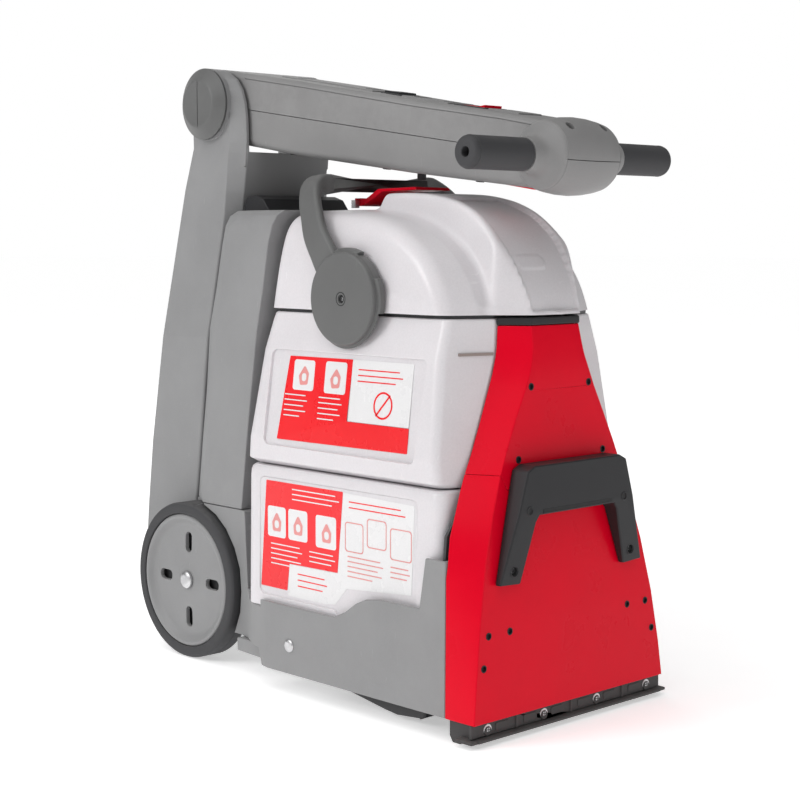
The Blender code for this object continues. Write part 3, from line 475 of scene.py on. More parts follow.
GREY = surface("housing_grey", (0.25, 0.25, 0.253), 0.5)
HUB = surface("hub_grey", (0.115, 0.116, 0.115), 0.48)
WARM = surface("handle_grey", (0.225, 0.222, 0.222), 0.46)
DARK = surface("dark_plastic", (0.055, 0.055, 0.057), 0.55, constants=DIM)
BLACK = surface("black_plastic", (0.022, 0.022, 0.024), 0.42, dust=0.03, constants=DIM)
NOZZLE = surface("nozzle_plastic", (0.055, 0.053, 0.053), 0.5, constants=DIM)
BROWN = surface("nozzle_inside", (0.07, 0.052, 0.042), 0.6)
RED = surface("red_plastic", (0.72, 0.0, 0.016), 0.3, grain=0.08, mottle=0.04, scuffs=0.06,
              wear=0.1, dust=0.02, constants=GLOSS)
MILK = surface("milky_plastic", (0.69, 0.665, 0.685), 0.34, grain=0.1, grain_size=500.0,
               mottle=0.025, scuffs=0.2, wear=0.2, dust=0.05, constants=CLOUDY)
GRIP = surface("grip_rubber", (0.05, 0.05, 0.053), 0.6, grain=0.35, dust=0.06,
               constants=DIM)
TYRE = surface("tyre_rubber", (0.045, 0.045, 0.048), 0.72, grain=0.5, grain_size=700.0)
# Near-black painted shade, put in holes, slots, pits and open ends where their insides would lie in
# shadow.
PAINTED_RECESS_SHADE = surface("painted_recess_shade", (0.008, 0.008, 0.009), 0.6, dust=0.0)
BRISTLE = surface("nylon_bristle", (0.03, 0.03, 0.036), 0.6)
STEEL = metal("zinc_steel", (0.62, 0.62, 0.63), 0.3)
CAST = metal("cast_alloy", (0.42, 0.42, 0.43), 0.5)
LABEL_RED = surface("label_red", (0.84, 0.006, 0.012), 0.28, grain=0.04, mottle=0.03, wear=0.0,
                    scuffs=0.15, dust=0.0)
LABEL_WHITE = surface("label_white", (0.76, 0.755, 0.76), 0.28, grain=0.04, mottle=0.02,
                      wear=0.0, scuffs=0.1, dust=0.0)
LABEL_LINE = surface("label_line", (0.72, 0.28, 0.27), 0.3, grain=0.04, wear=0.0, dust=0.0)
LEVEL = surface("level_mark", (0.27, 0.22, 0.2), 0.35, grain=0.04, wear=0.0, dust=0.0)


# ---------------------------------------------------------------- lid of the upper tank

LID_CENTRE = (0.0, 170.0, LID_BOTTOM)
SHOULDER_SIDE = [(105.2, 383), (104.5, 434), (99.5, 464), (91.5, 477.5), (79, 483.5), (60, 486),
                 (0, 487)]
SHOULDER_ALONG = [(51, 383), (56, 400), (67, 420.5), (85.5, 441), (112, 459), (145, 473),
                  (180, 482), (212, 485.5), (278, 485.5), (292, 480.5), (300, 468), (307, 430),
                  (316, 383)]
CROWN_ALONG = [(19, 383), (20.8, 398), (26.3, 412), (35.4, 428), (47.5, 446.5), (63.7, 463.7),
               (84, 479), (110, 490), (145, 497), (185, 499), (207, 498), (215, 486), (216, 383)]
CROWN_SIDE = [(60, 383), (52, 435), (48.5, 461), (46.5, 478), (45, 500)]
PANEL_HALF = [(384, 31), (412, 35), (430, 37), (453, 39), (470, 38), (491, 35), (500, 34)]
PANEL_DEPTH, OVAL_RISE = 3.8, 0.9


def halfplanes(points):
    """Outward normal and offset of each side of an outline given in order."""
    spots = np.array(points, float)
    along = spots[1:] - spots[:-1]
    normal = np.stack([-along[:, 1], along[:, 0]], 1)
    normal /= np.linalg.norm(normal, axis=1)[:, None]
    inner = spots.mean(0)
    normal *= np.sign(np.sum(normal * (spots[:-1] - inner), 1))[:, None]
    return normal, np.sum(normal * spots[:-1], 1)


def outside(points, a, b, sharp=0.5):
    """How far points lie outside an outline, with its corners smoothed."""
    normal, offset = halfplanes(points)
    far = a[..., None] * normal[:, 0] + b[..., None] * normal[:, 1] - offset
    top = far.max(-1)
    return top + np.log(np.exp(sharp * (far - top[..., None])).sum(-1)) / sharp


def smooth_max(a, b, k):
    h = np.clip(k - np.abs(a - b), 0, None) / k
    return np.maximum(a, b) + h * h * k / 4


def smooth_min(a, b, k):
    return -smooth_max(-a, -b, k)


def lid_depth(p):
    """Signed room between a point and the lid's surface: negative inside.

    The lid is a domed shoulder body with a taller crown along its middle and a low skirt at its
    front corners. The crown's front has a shallow panel, with a small raised oval in it.
    """
    x, y, z = np.abs(p[..., 0]), p[..., 1], p[..., 2]
    lean = np.clip((260 - y) / 140, 0, 1)
    swept = y - 0.506 * np.clip(x - 72.3, 0, None) * lean
    body = smooth_max(outside(SHOULDER_SIDE, x, z), outside(SHOULDER_ALONG, swept, z), 13.0)
    flare = 0.714 * (x - 34) - 0.6996 * (y - 20.5) + 0.15 * (z - 384)
    top = outside(CROWN_ALONG, y, z, 0.8)
    side = x - np.interp(z, [v for _, v in CROWN_SIDE], [v for v, _ in CROWN_SIDE])
    crown = smooth_max(smooth_max(top, side, 5.0), flare, 4.0)
    skirt = np.maximum(0.455 * (x - 57.5) - 0.89 * (y - 44.5), x - 103.5)
    skirt = smooth_max(np.maximum(skirt, y - 150), z - 388 - 0.1 * np.clip(y - 40, 0, 80), 4.0)
    skirt = np.maximum(skirt, flare)
    whole = smooth_min(smooth_min(body, crown, 6.5), skirt, 8.0)
    half = np.interp(z, [v for v, _ in PANEL_HALF], [v for _, v in PANEL_HALF])
    panel = smooth_max(smooth_max(x - half, y - 132, 8.0), -(top + PANEL_DEPTH), 2.0)
    panel = np.maximum(panel, 387.5 - z)
    whole = smooth_max(whole, -panel, 2.4)
    oval = np.hypot(np.maximum(np.abs(p[..., 0] + 12) - 13, 0), (z - 432) * 0.9) - 5
    return whole - OVAL_RISE * np.clip(1 - np.clip(oval, 0, None) / 1.5, 0, 1) * (y < 60)


def tank_lid():
    """The lid's skin, found by halving along rays from a point on its floor."""
    around, levels = 384, 132
    turn = np.linspace(0, 2 * math.pi, around, endpoint=False)
    rise = (math.pi / 2) * (np.linspace(0, 1, levels, endpoint=False) ** 1.15)
    rise, turn = np.meshgrid(rise, turn, indexing="ij")
    ray = np.stack([np.cos(rise) * np.cos(turn), np.cos(rise) * np.sin(turn), np.sin(rise)], -1)
    centre = np.array(LID_CENTRE)
    near, far = np.full(rise.shape, 20.0), np.full(rise.shape, 260.0)
    for _ in range(26):
        middle = (near + far) / 2
        inside = lid_depth(centre + ray * middle[..., None]) < 0
        near, far = np.where(inside, middle, near), np.where(inside, far, middle)
    rings = (centre + ray * near[..., None]).tolist()
    under = [[centre[0] + (x - centre[0]) * k, centre[1] + (y - centre[1]) * k, LID_BOTTOM + up]
             for k, up in ((0.965, 0.0), (0.955, 5.0)) for x, y, z in rings[0]]
    rings = [under[around:], under[:around]] + rings
    bm = loft(rings, capped=False)
    bm.verts.ensure_lookup_table()
    bm.faces.new(bm.verts[-around:])
    bm.faces.new(list(reversed(bm.verts[:around])))
    piece("tank_lid_shell", bm, MILK, "tank_lid", angle=50)


# ---------------------------------------------------------------- tanks

# height, nose half width, front, shoulder x and y, side x, rear
TANK_LEVELS = [(226.6, 99, 49, 117, 57, 116, 333), (228.4, 100.6, 47.4, 119.5, 55.4, 118.4, 335.4),
               (231, 97, 46, 125, 54, 122, 339), (252, 92, 45.5, 127.5, 55, 123, 336),
               (284, 80, 45.5, 122.5, 57.5, 120, 331), (342, 60, 45.5, 113, 62, 113, 324),
               (372, 58.5, 45.5, 103, 64, 106, 319), (378.6, 58.5, 46, 101.2, 65, 104.4, 317.2),
               (380.2, 57.5, 47, 100, 66, 102.6, 315.6)]


def tank_plan(z):
    """Plan of the upper tank: a narrow nose, slanting shoulders and rounded rear corners."""
    heights = [level[0] for level in TANK_LEVELS]
    nose, front, corner, corner_y, side, rear = (
        float(np.interp(z, heights, [level[i] for level in TANK_LEVELS])) for i in range(1, 7))
    return rounded([(0, front), (nose, front), (corner, corner_y), (side, rear), (0, rear)],
                   [0, 2.5, 11, 20, 0], 7)[1:-1]


def dirty_tank():
    """Upper tank with a sunk label panel on each side."""
    levels = sorted({*(level[0] for level in TANK_LEVELS), 236, 241, 246, 260, 268, 276, 300, 320,
                     350, 358, 365})
    rings = [[(x, y, z) for x, y in mirrored(tank_plan(z))] for z in levels]
    item = new_mesh("dirty_tank_shell", loft(rings))
    for side in (-1, 1):
        panel = rounded([(82, 247), (78, 343), (300, 343), (303, 247)], 7)
        outer = [(side * 160, y, z) for y, z in panel]
        inner = [(side * (label_x(z) - 1.0), y, z) for y, z in panel]
        shape(item, loft([outer, inner]))
    soften(item, 0.7, 30)
    finished(item, MILK, "upper_tank", ("dirty_tank",))


def label_x(z):
    """How far out the upper tank's flat side stands at a height."""
    return between([(252, 121.5), (284, 118.6), (342, 111.4), (372, 103)], z)


def clean_plan(inset=0.0):
    return rounded([(0, 45.2 + inset), (127.5 - inset, 45.2 + inset), (126.5 - inset, 330 - inset),
                    (0, 330 - inset)], [0, 12, 18, 0], 7)[1:-1]


def clean_tank():
    """Lower tank with a sunk label panel on each side and a hole for its cap."""
    steps = [(82.4, 1.018, 0), (214, 1.0015, 0), (220, 1.0, 0.3), (223.4, 1.0, 1.4),
             (225.3, 1.0, 3.6)]
    rings = [[(x * wide, y, z) for x, y in mirrored(clean_plan(inset))]
             for z, wide, inset in steps]
    item = new_mesh("clean_tank_shell", loft(rings))
    for side in (-1, 1):
        panel = rounded([(76, 78), (76, 214.5), (304, 214.5), (304, 95), (190, 95), (172, 78)],
                        [7, 7, 7, 7, 4, 4])
        shape(item, prism(panel, "X", *side_span(side, 126.7, 150)))
    shape(item, turned("Z", CAP_PLACE, [(200, 20), (240, 20)], 48))
    soften(item, 0.7, 30)
    finished(item, MILK, "chassis", ("clean_tank",))


def gasket():
    outer = mirrored([(x, y) for x, y in tank_plan(379)])
    rings = [[(x * k, 184 + (y - 184) * k, z) for x, y in outer]
             for k, z in ((0.985, 380.5), (0.985, 383.3), (0.93, 383.3), (0.93, 380.5))]
    piece("lid_gasket_ring", looped(rings), BLACK, "lid_gasket")


# ---------------------------------------------------------------- labels

def on_side(name, points, reach, material, node, radius=1.2, holes=()):
    """A thin sheet on each flat side of a tank, in (y, z); reach gives its distance out."""
    for word, side in SIDES:
        outline = rounded(points, radius, 3)
        rings = [[(side * (reach(z) + lift), y, z) for y, z in outline] for lift in (-0.4, 0.0)]
        item = new_mesh(name + "_" + word, loft(rings))
        for hole in holes:
            spots = rounded(hole, 3.0, 4)
            shape(item, loft([[(side * (reach(z) + lift), y, z) for y, z in spots]
                              for lift in (-3.0, 3.0)]))
        item.data.shade_flat()
        finished(item, material, BODY_OF[node])


def tile(y, z, wide, tall):
    return [(y - wide / 2, z - tall / 2), (y + wide / 2, z - tall / 2),
            (y + wide / 2, z + tall / 2), (y - wide / 2, z + tall / 2)]


def rules(part, node, reach, table):
    """Plain broken rules that stand for lines of small print without any letters."""
    for word, (y, z), rows, wide, pitch, material in table:
        for row in range(rows):
            span = wide * (0.92, 1.0, 0.85, 0.96, 0.7)[row % 5]
            on_side(f"{part}_label_{word}_{row}", tile(y - span / 2, z - pitch * row, span, 1.1),
                    reach, material, node, 0.3)


def pictures(part, node, reach, proud, tiles, mark, eye):
    """White tiles, each with a plain five-sided shape that has a square hole."""
    for index, spots in enumerate(tiles):
        on_side(f"{part}_label_tile_{index}", spots, reach, LABEL_WHITE, node, 3.0)
        y, z = spots[0]
        on_side(f"{part}_label_picture_{index}", [(y + a, z + b) for a, b in mark], proud,
                LABEL_LINE, node, 2.0, [tile(y + eye[0], z + eye[1], 7, 8)])


def upper_labels():
    """Label on the upper tank: a red panel with pictures, and a white one with a barred ring."""
    def reach(z):
        return label_x(z) - 0.75

    def proud(z):
        return label_x(z) - 0.6

    node = "dirty_tank"
    white = [(97, 279), (97, 338), (181, 338), (181, 279)]
    on_side("upper_label_white", white, reach, LABEL_WHITE, node)
    red = [(97, 255), (97, 278.5), (183, 278.5), (181, 338), (274, 337), (285, 253.5)]
    tiles = [tile(251, 319, 31, 30), tile(204, 319, 31, 31)]
    on_side("upper_label_red", red, reach, LABEL_RED, node, 1.0, tiles)
    mark = [(9, 6), (20, 5), (23, 14), (15, 25), (8, 17)]
    pictures("upper", node, reach, proud, tiles, mark, (15, 13))
    rules("upper", node, proud, [("rule_a", (277, 299), 5, 34, 5.2, LABEL_WHITE),
                                 ("rule_b", (226, 299), 5, 34, 5.2, LABEL_WHITE),
                                 ("heading", (172, 329), 3, 62, 5.5, LABEL_RED)])
    middle = (134, 297)
    on_side("upper_label_ring", circle(middle, 13, 24), proud, LABEL_RED, node, 0,
            [circle(middle, 11.2, 24)])
    bar = [(124.5, 306.5), (125.8, 307.8), (143.5, 287.5), (142.2, 286.2)]
    on_side("upper_label_bar", bar, proud, LABEL_RED, node, 0.2)


def lower_labels():
    """Label on the lower tank: a red panel with pictures, and a white one with empty frames."""
    def reach(_):
        return 126.9

    def proud(_):
        return 127.1

    node = "clean_tank"
    white = [(84, 125), (80, 209), (178, 211), (186, 131), (258, 130), (261, 98), (205, 98),
             (190, 100), (173, 118)]
    on_side("lower_label_white", white, reach, LABEL_WHITE, node)
    red = [(294, 211.5), (178.6, 211.5), (186.6, 131.6), (258.6, 130.6), (262, 103), (303, 103)]
    tiles = [tile(278, 170.5, 28, 31), tile(245.5, 170.5, 29, 31), tile(203.5, 169, 30, 32)]
    on_side("lower_label_red", red, reach, LABEL_RED, node, 1.0, tiles)
    mark = [(8, 6), (20, 6), (21, 15), (14, 26), (7, 16)]
    pictures("lower", node, reach, proud, tiles, mark, (14, 13))
    rules("lower", node, proud, [("heading", (254, 206), 3, 70, 5.0, LABEL_WHITE),
                                 ("rule_a", (287, 148), 5, 48, 5.0, LABEL_WHITE),
                                 ("rule_b", (228, 147), 3, 38, 4.8, LABEL_WHITE)])
    frames = [(162.5, 169, 26, 29), (131, 176, 27, 28), (98, 170, 29, 30)]
    for index, (y, z, wide, tall) in enumerate(frames):
        on_side(f"lower_label_frame_{index}", tile(y, z, wide, tall), proud, LABEL_LINE, node, 3.2,
                [tile(y, z, wide - 2, tall - 2)])
    rules("lower", node, proud, [("rule_c", (170, 203), 2, 78, 5.5, LABEL_RED),
                                 ("rule_d", (172, 150), 5, 50, 4.8, LABEL_LINE),
                                 ("rule_e", (112, 148), 3, 26, 4.8, LABEL_LINE),
                                 ("rule_f", (246, 122), 3, 44, 6.0, LABEL_RED)])


def level_mark():
    """The fill line moulded on a front corner of the upper tank."""
    out = Vector((0.297, -0.955)) * 0.9
    rings = [[(-(x + out.x * k), y + out.y * k, z)
              for k, z in ((-3, 346.6), (1, 346.6), (1, 349.2), (-3, 349.2))]
             for x, y in ((59.8, 45.3), (94.5, 56.2))]
    flat_detail("level_mark_left", loft(rings), LEVEL, "dirty_tank")


# ---------------------------------------------------------------- folding upper handle

HANDLE_LINE = Vector((GRIP_Y - PIVOT_Y, GRIP_Z - PIVOT_Z))
HANDLE_LENGTH = HANDLE_LINE.length
HANDLE_DIR = HANDLE_LINE.normalized()
HANDLE_UP = Vector((HANDLE_DIR.y, -HANDLE_DIR.x))
# distance along, half width, height above and depth below the line
HANDLE_STATIONS = [(0, 52, 38, 38), (130, 52, 37, 39), (290, 45, 33.5, 36.5), (400, 37.5, 33, 33),
                   (455, 35, 31, 31)]


def handle_point(along, up):
    spot = Vector((PIVOT_Y, PIVOT_Z)) + HANDLE_DIR * along + HANDLE_UP * up
    return spot.x, spot.y


def handle_section(along):
    """Half width, height above and depth below the handle's centreline."""
    at = [s[0] for s in HANDLE_STATIONS]
    return [float(np.interp(along, at, [s[i] for s in HANDLE_STATIONS])) for i in (1, 2, 3)]


def handle_beam(length, count=12):
    rings = []
    for along in np.linspace(0, length, count):
        half, up, down = handle_section(along)
        section = rounded([(-half, -down), (half, -down), (half, up), (-half, up)],
                          [9, 9, 5.5, 5.5], 6)
        rings.append([(x, *handle_point(along, t)) for x, t in section])
    return loft(rings)


def slab(along, up, half, corner=0.0):
    """A block on the handle: from and to along it, from and to above its centreline."""
    plan = [(-half, along[0]), (half, along[0]), (half, along[1]), (-half, along[1])]
    plan = rounded(plan, corner, 4) if corner else plan
    return loft([[(x, *handle_point(s, t)) for x, s in plan] for t in up])


def hub_profile():
    """Barrel of the T-piece that holds the grips, widest in the middle."""
    half = [(0, 36), (14, 35.3), (28, 33.4), (36.2, 31.6), (37, 30.6)]
    return [(-x, r) for x, r in half[:0:-1]] + half


# from and to along the handle, from and to above its line, half width, corner radius
SWITCH_SLOT = ((318, 358), (14, 50), 12.5, 1.5)
BUTTON_SLOT = ((213.5, 236.5), (14, 50), 12.5, 1.5)
TRIGGER_SLOT = ((385, 430), (-60, -16), 10.5)
SHELL_GAP = 0.35


def handle_shells():
    """Top and bottom mouldings, met by a fine groove all round the handle."""
    pin, grip = (PIVOT_Y, PIVOT_Z), (GRIP_Y, GRIP_Z)
    whole = new_mesh("handle_solid", handle_beam(HANDLE_LENGTH - 2))
    shape(whole, turned("X", pin, [(-52, 37), (-51, 38), (51, 38), (52, 37)], 96), "UNION")
    shape(whole, turned("X", grip, hub_profile(), 96), "UNION")
    shape(whole, turned("X", pin, [(-80, 8.3), (80, 8.3)], 32))
    shape(whole, turned("X", grip, [(-80, 12.3), (80, 12.3)], 48))
    for name, node, side in (("handle_top_moulding", "handle_top_shell", 1),
                             ("handle_bottom_moulding", "handle_bottom_shell", -1)):
        item = add_object(name, whole.data.copy())
        gap, tall = SHELL_GAP * side, 140 * side
        corners = [(-120, gap), (HANDLE_LENGTH + 80, gap), (HANDLE_LENGTH + 80, tall),
                   (-120, tall)]
        shape(item, prism([handle_point(s, t) for s, t in corners], "X", -120, 120), "INTERSECT")
        if side > 0:
            detail_handle_top(item)
        else:
            shape(item, slab(*TRIGGER_SLOT))
            shape(item, turned("Z", BUMPER_PLACE, [(500, 4.8), (530, 4.8)], 24))
        soften(item, 0.0, 32)
        finished(item, WARM, "upper_handle", (node,))
    bpy.data.objects.remove(whole, do_unlink=True)


def detail_handle_top(item):
    """Slots for the switch and the button, a parting step along each top edge, screw pits."""
    shape(item, slab(*SWITCH_SLOT))
    shape(item, slab(*BUTTON_SLOT))
    for side in (-1, 1):
        rails = []
        for along in (38, 130, 290, 400, 440):
            half, up, _ = handle_section(along)
            rails.append([(side * (half + 2), *handle_point(along, up - t)) for t in (5.4, 6.3)]
                         + [(side * (half - 1.2), *handle_point(along, up - t))
                            for t in (6.3, 5.4)])
        shape(item, loft(rails))
        spot = (side * 23.2, -10.8, 552.5)
        shape(item, screw_pit(spot, 4.0, 5.2))


def screw_pit(spot, small, large):
    """An oblong pit, bored down and back into the grip's barrel."""
    up = Vector((0, HANDLE_UP.x, HANDLE_UP.y))
    lean = (up + Vector((0, -0.75, 0.1))).normalized()
    across = Vector((1, 0, 0))
    over = lean.cross(across)
    rings = []
    for depth in (-7, 14):
        rings.append([tuple(Vector(spot) + across * small * math.cos(t)
                            + over * large * math.sin(t) + lean * depth) for t in arc(24)])
    return loft(rings)


def handle_ring(side, along, below, radius):
    """A small circle level with the handle's lower face."""
    half, _, down = handle_section(along)
    x = side * (half - 15)
    return [(x + radius * math.cos(a), *handle_point(along + radius * math.sin(a), below - down))
            for a in arc(20)]


def handle_top_fittings():
    """Strips and control bezels on the handle's top, with near-black bars on the strips as painted
    slot shade; near-black discs on its underside as painted screw-pit shade.
    """
    top = "handle_top_shell"
    for first, last, half in ((60, 205, 21), (246, 312, 19), (364, 404, 17)):
        levels = []
        for along in np.linspace(first, last, 5):
            _, up, _ = handle_section(along)
            section = ((-half, -0.5), (half, -0.5), (half - 1.4, 1.3), (1.4 - half, 1.3))
            levels.append([(x, *handle_point(along, up + t)) for x, t in section])
        piece(f"handle_strip_{first}", loft(levels), WARM, top, 0.5, 30, False, 2)
    # Near-black bars on the strips: painted shade standing for slots.
    for along in (78, 186, 258, 300):
        _, up, _ = handle_section(along)
        block = slab((along - 3, along + 3), (up + 0.9, up + 1.5), 11, 2.4)
        flat_detail(f"handle_painted_slot_shade_{along}", block, PAINTED_RECESS_SHADE, top)
    for along, first, last in ((338, 318.8, 357.2), (225, 213.8, 236.2)):
        _, up, _ = handle_section(along)
        block = slab((first - 3.2, last + 3.2), (up - 0.5, up + 1.1), 15.7, 3)
        item = new_mesh(f"handle_bezel_{along}", block)
        shape(item, slab((first, last), (up - 9, up + 9), 12.3, 1.2))
        soften(item, 0.4, 35, 2)
        finished(item, DARK, "upper_handle")
    # Near-black discs on the underside: painted shade standing for screw pits.
    for along in (20, 112, 250, 372):
        for word, side in SIDES:
            rings = [handle_ring(side, along, t, r)
                     for t, r in ((-0.6, 4.4), (-0.9, 4.0), (2.5, 4.0))]
            flat_detail(f"handle_screw_pit_{along}_{word}", loft(rings), PAINTED_RECESS_SHADE,
                        "handle_bottom_shell")


COLLAR = [(37.3, 12.3), (62, 12.3), (62, 15.6), (61.4, 16), (55, 16.4), (50, 17.2), (46.5, 18.8),
          (43.5, 21.6), (41.5, 25), (39.9, 28.4), (38.8, 30.2), (37.3, 31)]
SLEEVE = [(62.3, 12.4), (62.3, 14.2), (63, 14.9), (64.2, GRIP_R), (131, GRIP_R), (134.6, 14.5),
          (136.6, 13), (GRIP_END, 11.2), (GRIP_END, 5.2), (136.8, 4.6), (128, 4.6), (128, 12.4)]
SLEEVE_SEAM = [(131.4, GRIP_R - 0.3), (131.4, GRIP_R + 0.12), (132.2, GRIP_R + 0.12),
               (132.2, GRIP_R - 0.3)]
END_RING = [(GRIP_END - 0.9, 5.0), (GRIP_END - 0.2, 5.4), (GRIP_END - 0.2, 8.6),
            (GRIP_END - 0.9, 9.2)]


def grips():
    """Coned collars and rubber sleeves on the cross tube, each with a seam and an open end that
    holds a plug of painted shade.
    """
    centre = (GRIP_Y, GRIP_Z)
    for word, side in SIDES:
        node = "grip_" + word
        piece(f"grip_collar_{word}_cone", side_turned(side, centre, COLLAR), WARM,
              "grip_collar_" + word, angle=40)
        piece(node + "_sleeve", side_turned(side, centre, SLEEVE), GRIP, node, angle=40)
        detail(node + "_seam", side_turned(side, centre, SLEEVE_SEAM), DARK, node)
        detail(node + "_end_ring", side_turned(side, centre, END_RING, 64), DARK, node)
        # A near-black plug in the sleeve's open end: painted shade of the hollow tube.
        low, high = side_span(side, 126, 130)
        detail(node + "_socket_shade", turned("X", centre, [(low, 4.7), (high, 4.7)], 32), PAINTED_RECESS_SHADE, node)


PIVOT_CAP = [(EAR_OUT + 0.3, 37.2), (EAR_OUT + 1, 38), (EAR_OUT + 2.2, 38), (82, 27.4),
             (83.4, 25.6), (84, 23.5)]


def pivot_caps():
    """Coned caps over the pivot pin, each with a fine line down its face."""
    line = [(PIVOT_Y + a, PIVOT_Z + b) for a, b in ((-0.35, -60), (0.35, -60), (0.35, 60),
                                                    (-0.35, 60))]
    for word, side in SIDES:
        node = "pivot_cap_" + word
        item = new_mesh(node + "_cone", side_turned(side, (PIVOT_Y, PIVOT_Z), PIVOT_CAP,
                                                    make=turned))
        shape(item, prism(line, "X", *side_span(side, 83.4, 90)))
        soften(item, 0.5, 38, 2)
        finished(item, HUB, "chassis", (node,))


# ---------------------------------------------------------------- bail of the upper tank

# x, y, z along one arm from its hub to the crossbar, then half the depth and thickness there
BAIL_PATH = [(112.2, 213, 424, 17.5, 4.2), (112.2, 222, 438, 16.5, 4.3),
             (110.5, 236, 457, 14.8, 4.5), (105.5, 247, 475, 13.4, 4.8),
             (99, 257.5, 490.5, 12.6, 5.2), (90, 266, 502.5, 11.8, 6),
             (78, 270.3, 507.2, 11.4, 9.2), (66, 270.5, 507.3, 11.3, 9.9)]


def bail():
    """Two curved arms that run into one thick, rounded crossbar."""
    right = smooth_line(BAIL_PATH[::-1], 40)
    rings = []
    for side, stations in ((-1, right[::-1]), (1, right)):
        for k, (x, y, z, deep, thick) in enumerate(stations):
            step = 1 if k + 1 < len(stations) else -1
            ahead = (stations[k + step] - stations[k]) * step
            along = Vector((ahead[0] * side, ahead[1], ahead[2])).normalized()
            if side < 0:
                along.negate()
            fore = Vector((0, 1, -0.1))
            fore = (fore - along * fore.dot(along)).normalized()
            over = along.cross(fore).normalized()
            corner = min(thick * 0.85, 4.6)
            section = rounded([(-deep, -thick), (deep, -thick), (deep, thick), (-deep, thick)],
                              corner, 4)
            spot = Vector((side * x, y, z))
            rings.append([tuple(spot + fore * a + over * b) for a, b in section])
    piece("tank_bail_strap", loft(rings), HUB, "tank_bail", angle=50)


HUB_PROFILE = [(106.5, 46), (106.5, 7), (117, 7), (117, 4), (120.4, 4), (121, 4.6), (121, 42.8),
               (120.6, 44), (119.6, 44.9), (118.6, BAIL_R), (115.6, BAIL_R), (115, BAIL_R + 2),
               (114.3, BAIL_R + 3.6), (113.4, BAIL_R + 4), (108.4, BAIL_R + 4),
               (107.6, BAIL_R + 3.2)]
# Profile of a near-black cup of painted shade that lines the screw's pit.
HUB_PIT_SHADE = [(119.2, 6.8), (121.12, 6.8), (121.12, 5.9), (118.5, 5.4), (117.6, 5.4), (117.6, 0.4)]


def bail_hubs():
    """Round discs over the bail's ends, with a flange, a notch for the arm and a sunk screw in a
    near-black cup of painted pit shade.
    """
    centre = (BAIL_Y, BAIL_Z)
    notch = []
    for reach, turns in ((BAIL_R + 0.6, range(112, 160, 6)), (BAIL_R + 9, range(158, 110, -6))):
        notch += [(BAIL_Y + reach * math.cos(math.radians(t)),
                   BAIL_Z + reach * math.sin(math.radians(t))) for t in turns]
    for word, side in SIDES:
        node = "bail_hub_" + word
        item = new_mesh(node + "_disc", side_turned(side, centre, HUB_PROFILE))
        shape(item, prism(notch, "X", *side_span(side, 100, 116)))
        low, high = side_span(side, 100, 114.5)
        shape(item, box((low, 130, 340), (high, 250, 383)))
        soften(item, 0.5, 40, 2)
        finished(item, HUB, "tank_bail", (node,))
        # A near-black cup round the sunk screw: painted shade of its pit.
        detail(node + "_pit", side_turned(side, centre, HUB_PIT_SHADE, 40, turned), PAINTED_RECESS_SHADE, node)
        screw(f"{node}_screw", "X", side, (side * 119.3, *centre), 4.0, node)


# ---------------------------------------------------------------- small hardware

def screw(name, axis, side, spot, radius, node, material=STEEL):
    """A domed cross-head screw that faces along an axis; spot is the top of its head."""
    along = {"X": 0, "Y": 1, "Z": 2}[axis]
    others = [spot[i] for i in range(3) if i != along]
    top = spot[along]
    dome = [(top - side * radius * 0.75, radius), (top - side * radius * 0.45, radius),
            (top - side * radius * 0.12, radius * 0.72), (top, radius * 0.3)]
    item = new_mesh(name, turned(axis, others, dome, 32))
    for wide, tall in ((0.62, 0.13), (0.13, 0.62)):
        a, b = wide * radius, tall * radius
        cross = [(others[0] - a, others[1] - b), (others[0] + a, others[1] - b),
                 (others[0] + a, others[1] + b), (others[0] - a, others[1] + b)]
        low, high = sorted((top - side * radius * 0.4, top + side * radius))
        shape(item, prism(cross, axis, low, high))
    soften(item, 0.0, 30)
    finished(item, material, BODY_OF[node])


# ---------------------------------------------------------------- wheels

TYRE_PROFILE = [(88, 72.3), (115.4, 72.3), (116.6, 73), (117, 74.4), (117, 79.6), (116.4, 82),
                (115, 83.8), (113, 84.5), (103.6, 84.5), (103.2, 84.1), (101.8, 84.1),
                (101.4, 84.5), (90, 84.5), (88.4, 83.6), (88, 82)]
RIM_PROFILE = [(90, 6.3), (111.8, 6.3), (111.8, 16), (110.9, 18), (110.2, 44), (110, 57),
               (110.6, 60.5), (112.6, 63.4), (115, 65.6), (116.4, 67.4), (116.6, 69),
               (116, 70.6), (115, 71.4), (114, 72), (90, 72), (90, 67), (105, 60), (105, 15),
               (90, 15)]
AXLE_CAP = [(112.4, 6.2), (112.4, 9.4), (113.4, 9.6), (114.8, 9.2), (116.2, 7.4), (116.8, 4.2)]


def wheels():
    """Tyres with a groove round the tread, dished rims with four slots, and the axle's caps."""
    centre = (WHEEL_Y, WHEEL_Z)
    for word, side in SIDES:
        piece(f"tyre_{word}_tread", side_turned(side, centre, TYRE_PROFILE, 128), TYRE,
              "tyre_" + word, angle=45)
        node = "wheel_" + word
        item = new_mesh(node + "_rim", side_turned(side, centre, RIM_PROFILE, 128))
        for turn in arc(4):
            along = Vector((math.cos(turn), math.sin(turn)))
            across = Vector((-along.y, along.x))
            corners = [tuple(Vector(centre) + along * reach + across * half)
                       for reach, half in ((30, -5.5), (52, -5.5), (52, 5.5), (30, 5.5))]
            shape(item, prism(rounded(corners, 5, 6), "X", *side_span(side, 100, 120)))
        soften(item, 0.6, 40, 2)
        finished(item, GREY, node, (node,))
        web = side_turned(side, centre, [(99.5, 58), (101, 58)], 64, turned)
        detail(node + "_web", web, DARK, node)
    profile = [(-x, r) for x, r in reversed(AXLE_CAP)] + AXLE_CAP
    piece("wheel_axle_caps", turned("X", centre, profile, 64), STEEL, "wheel_axle")


# ---------------------------------------------------------------- front covers and nozzle

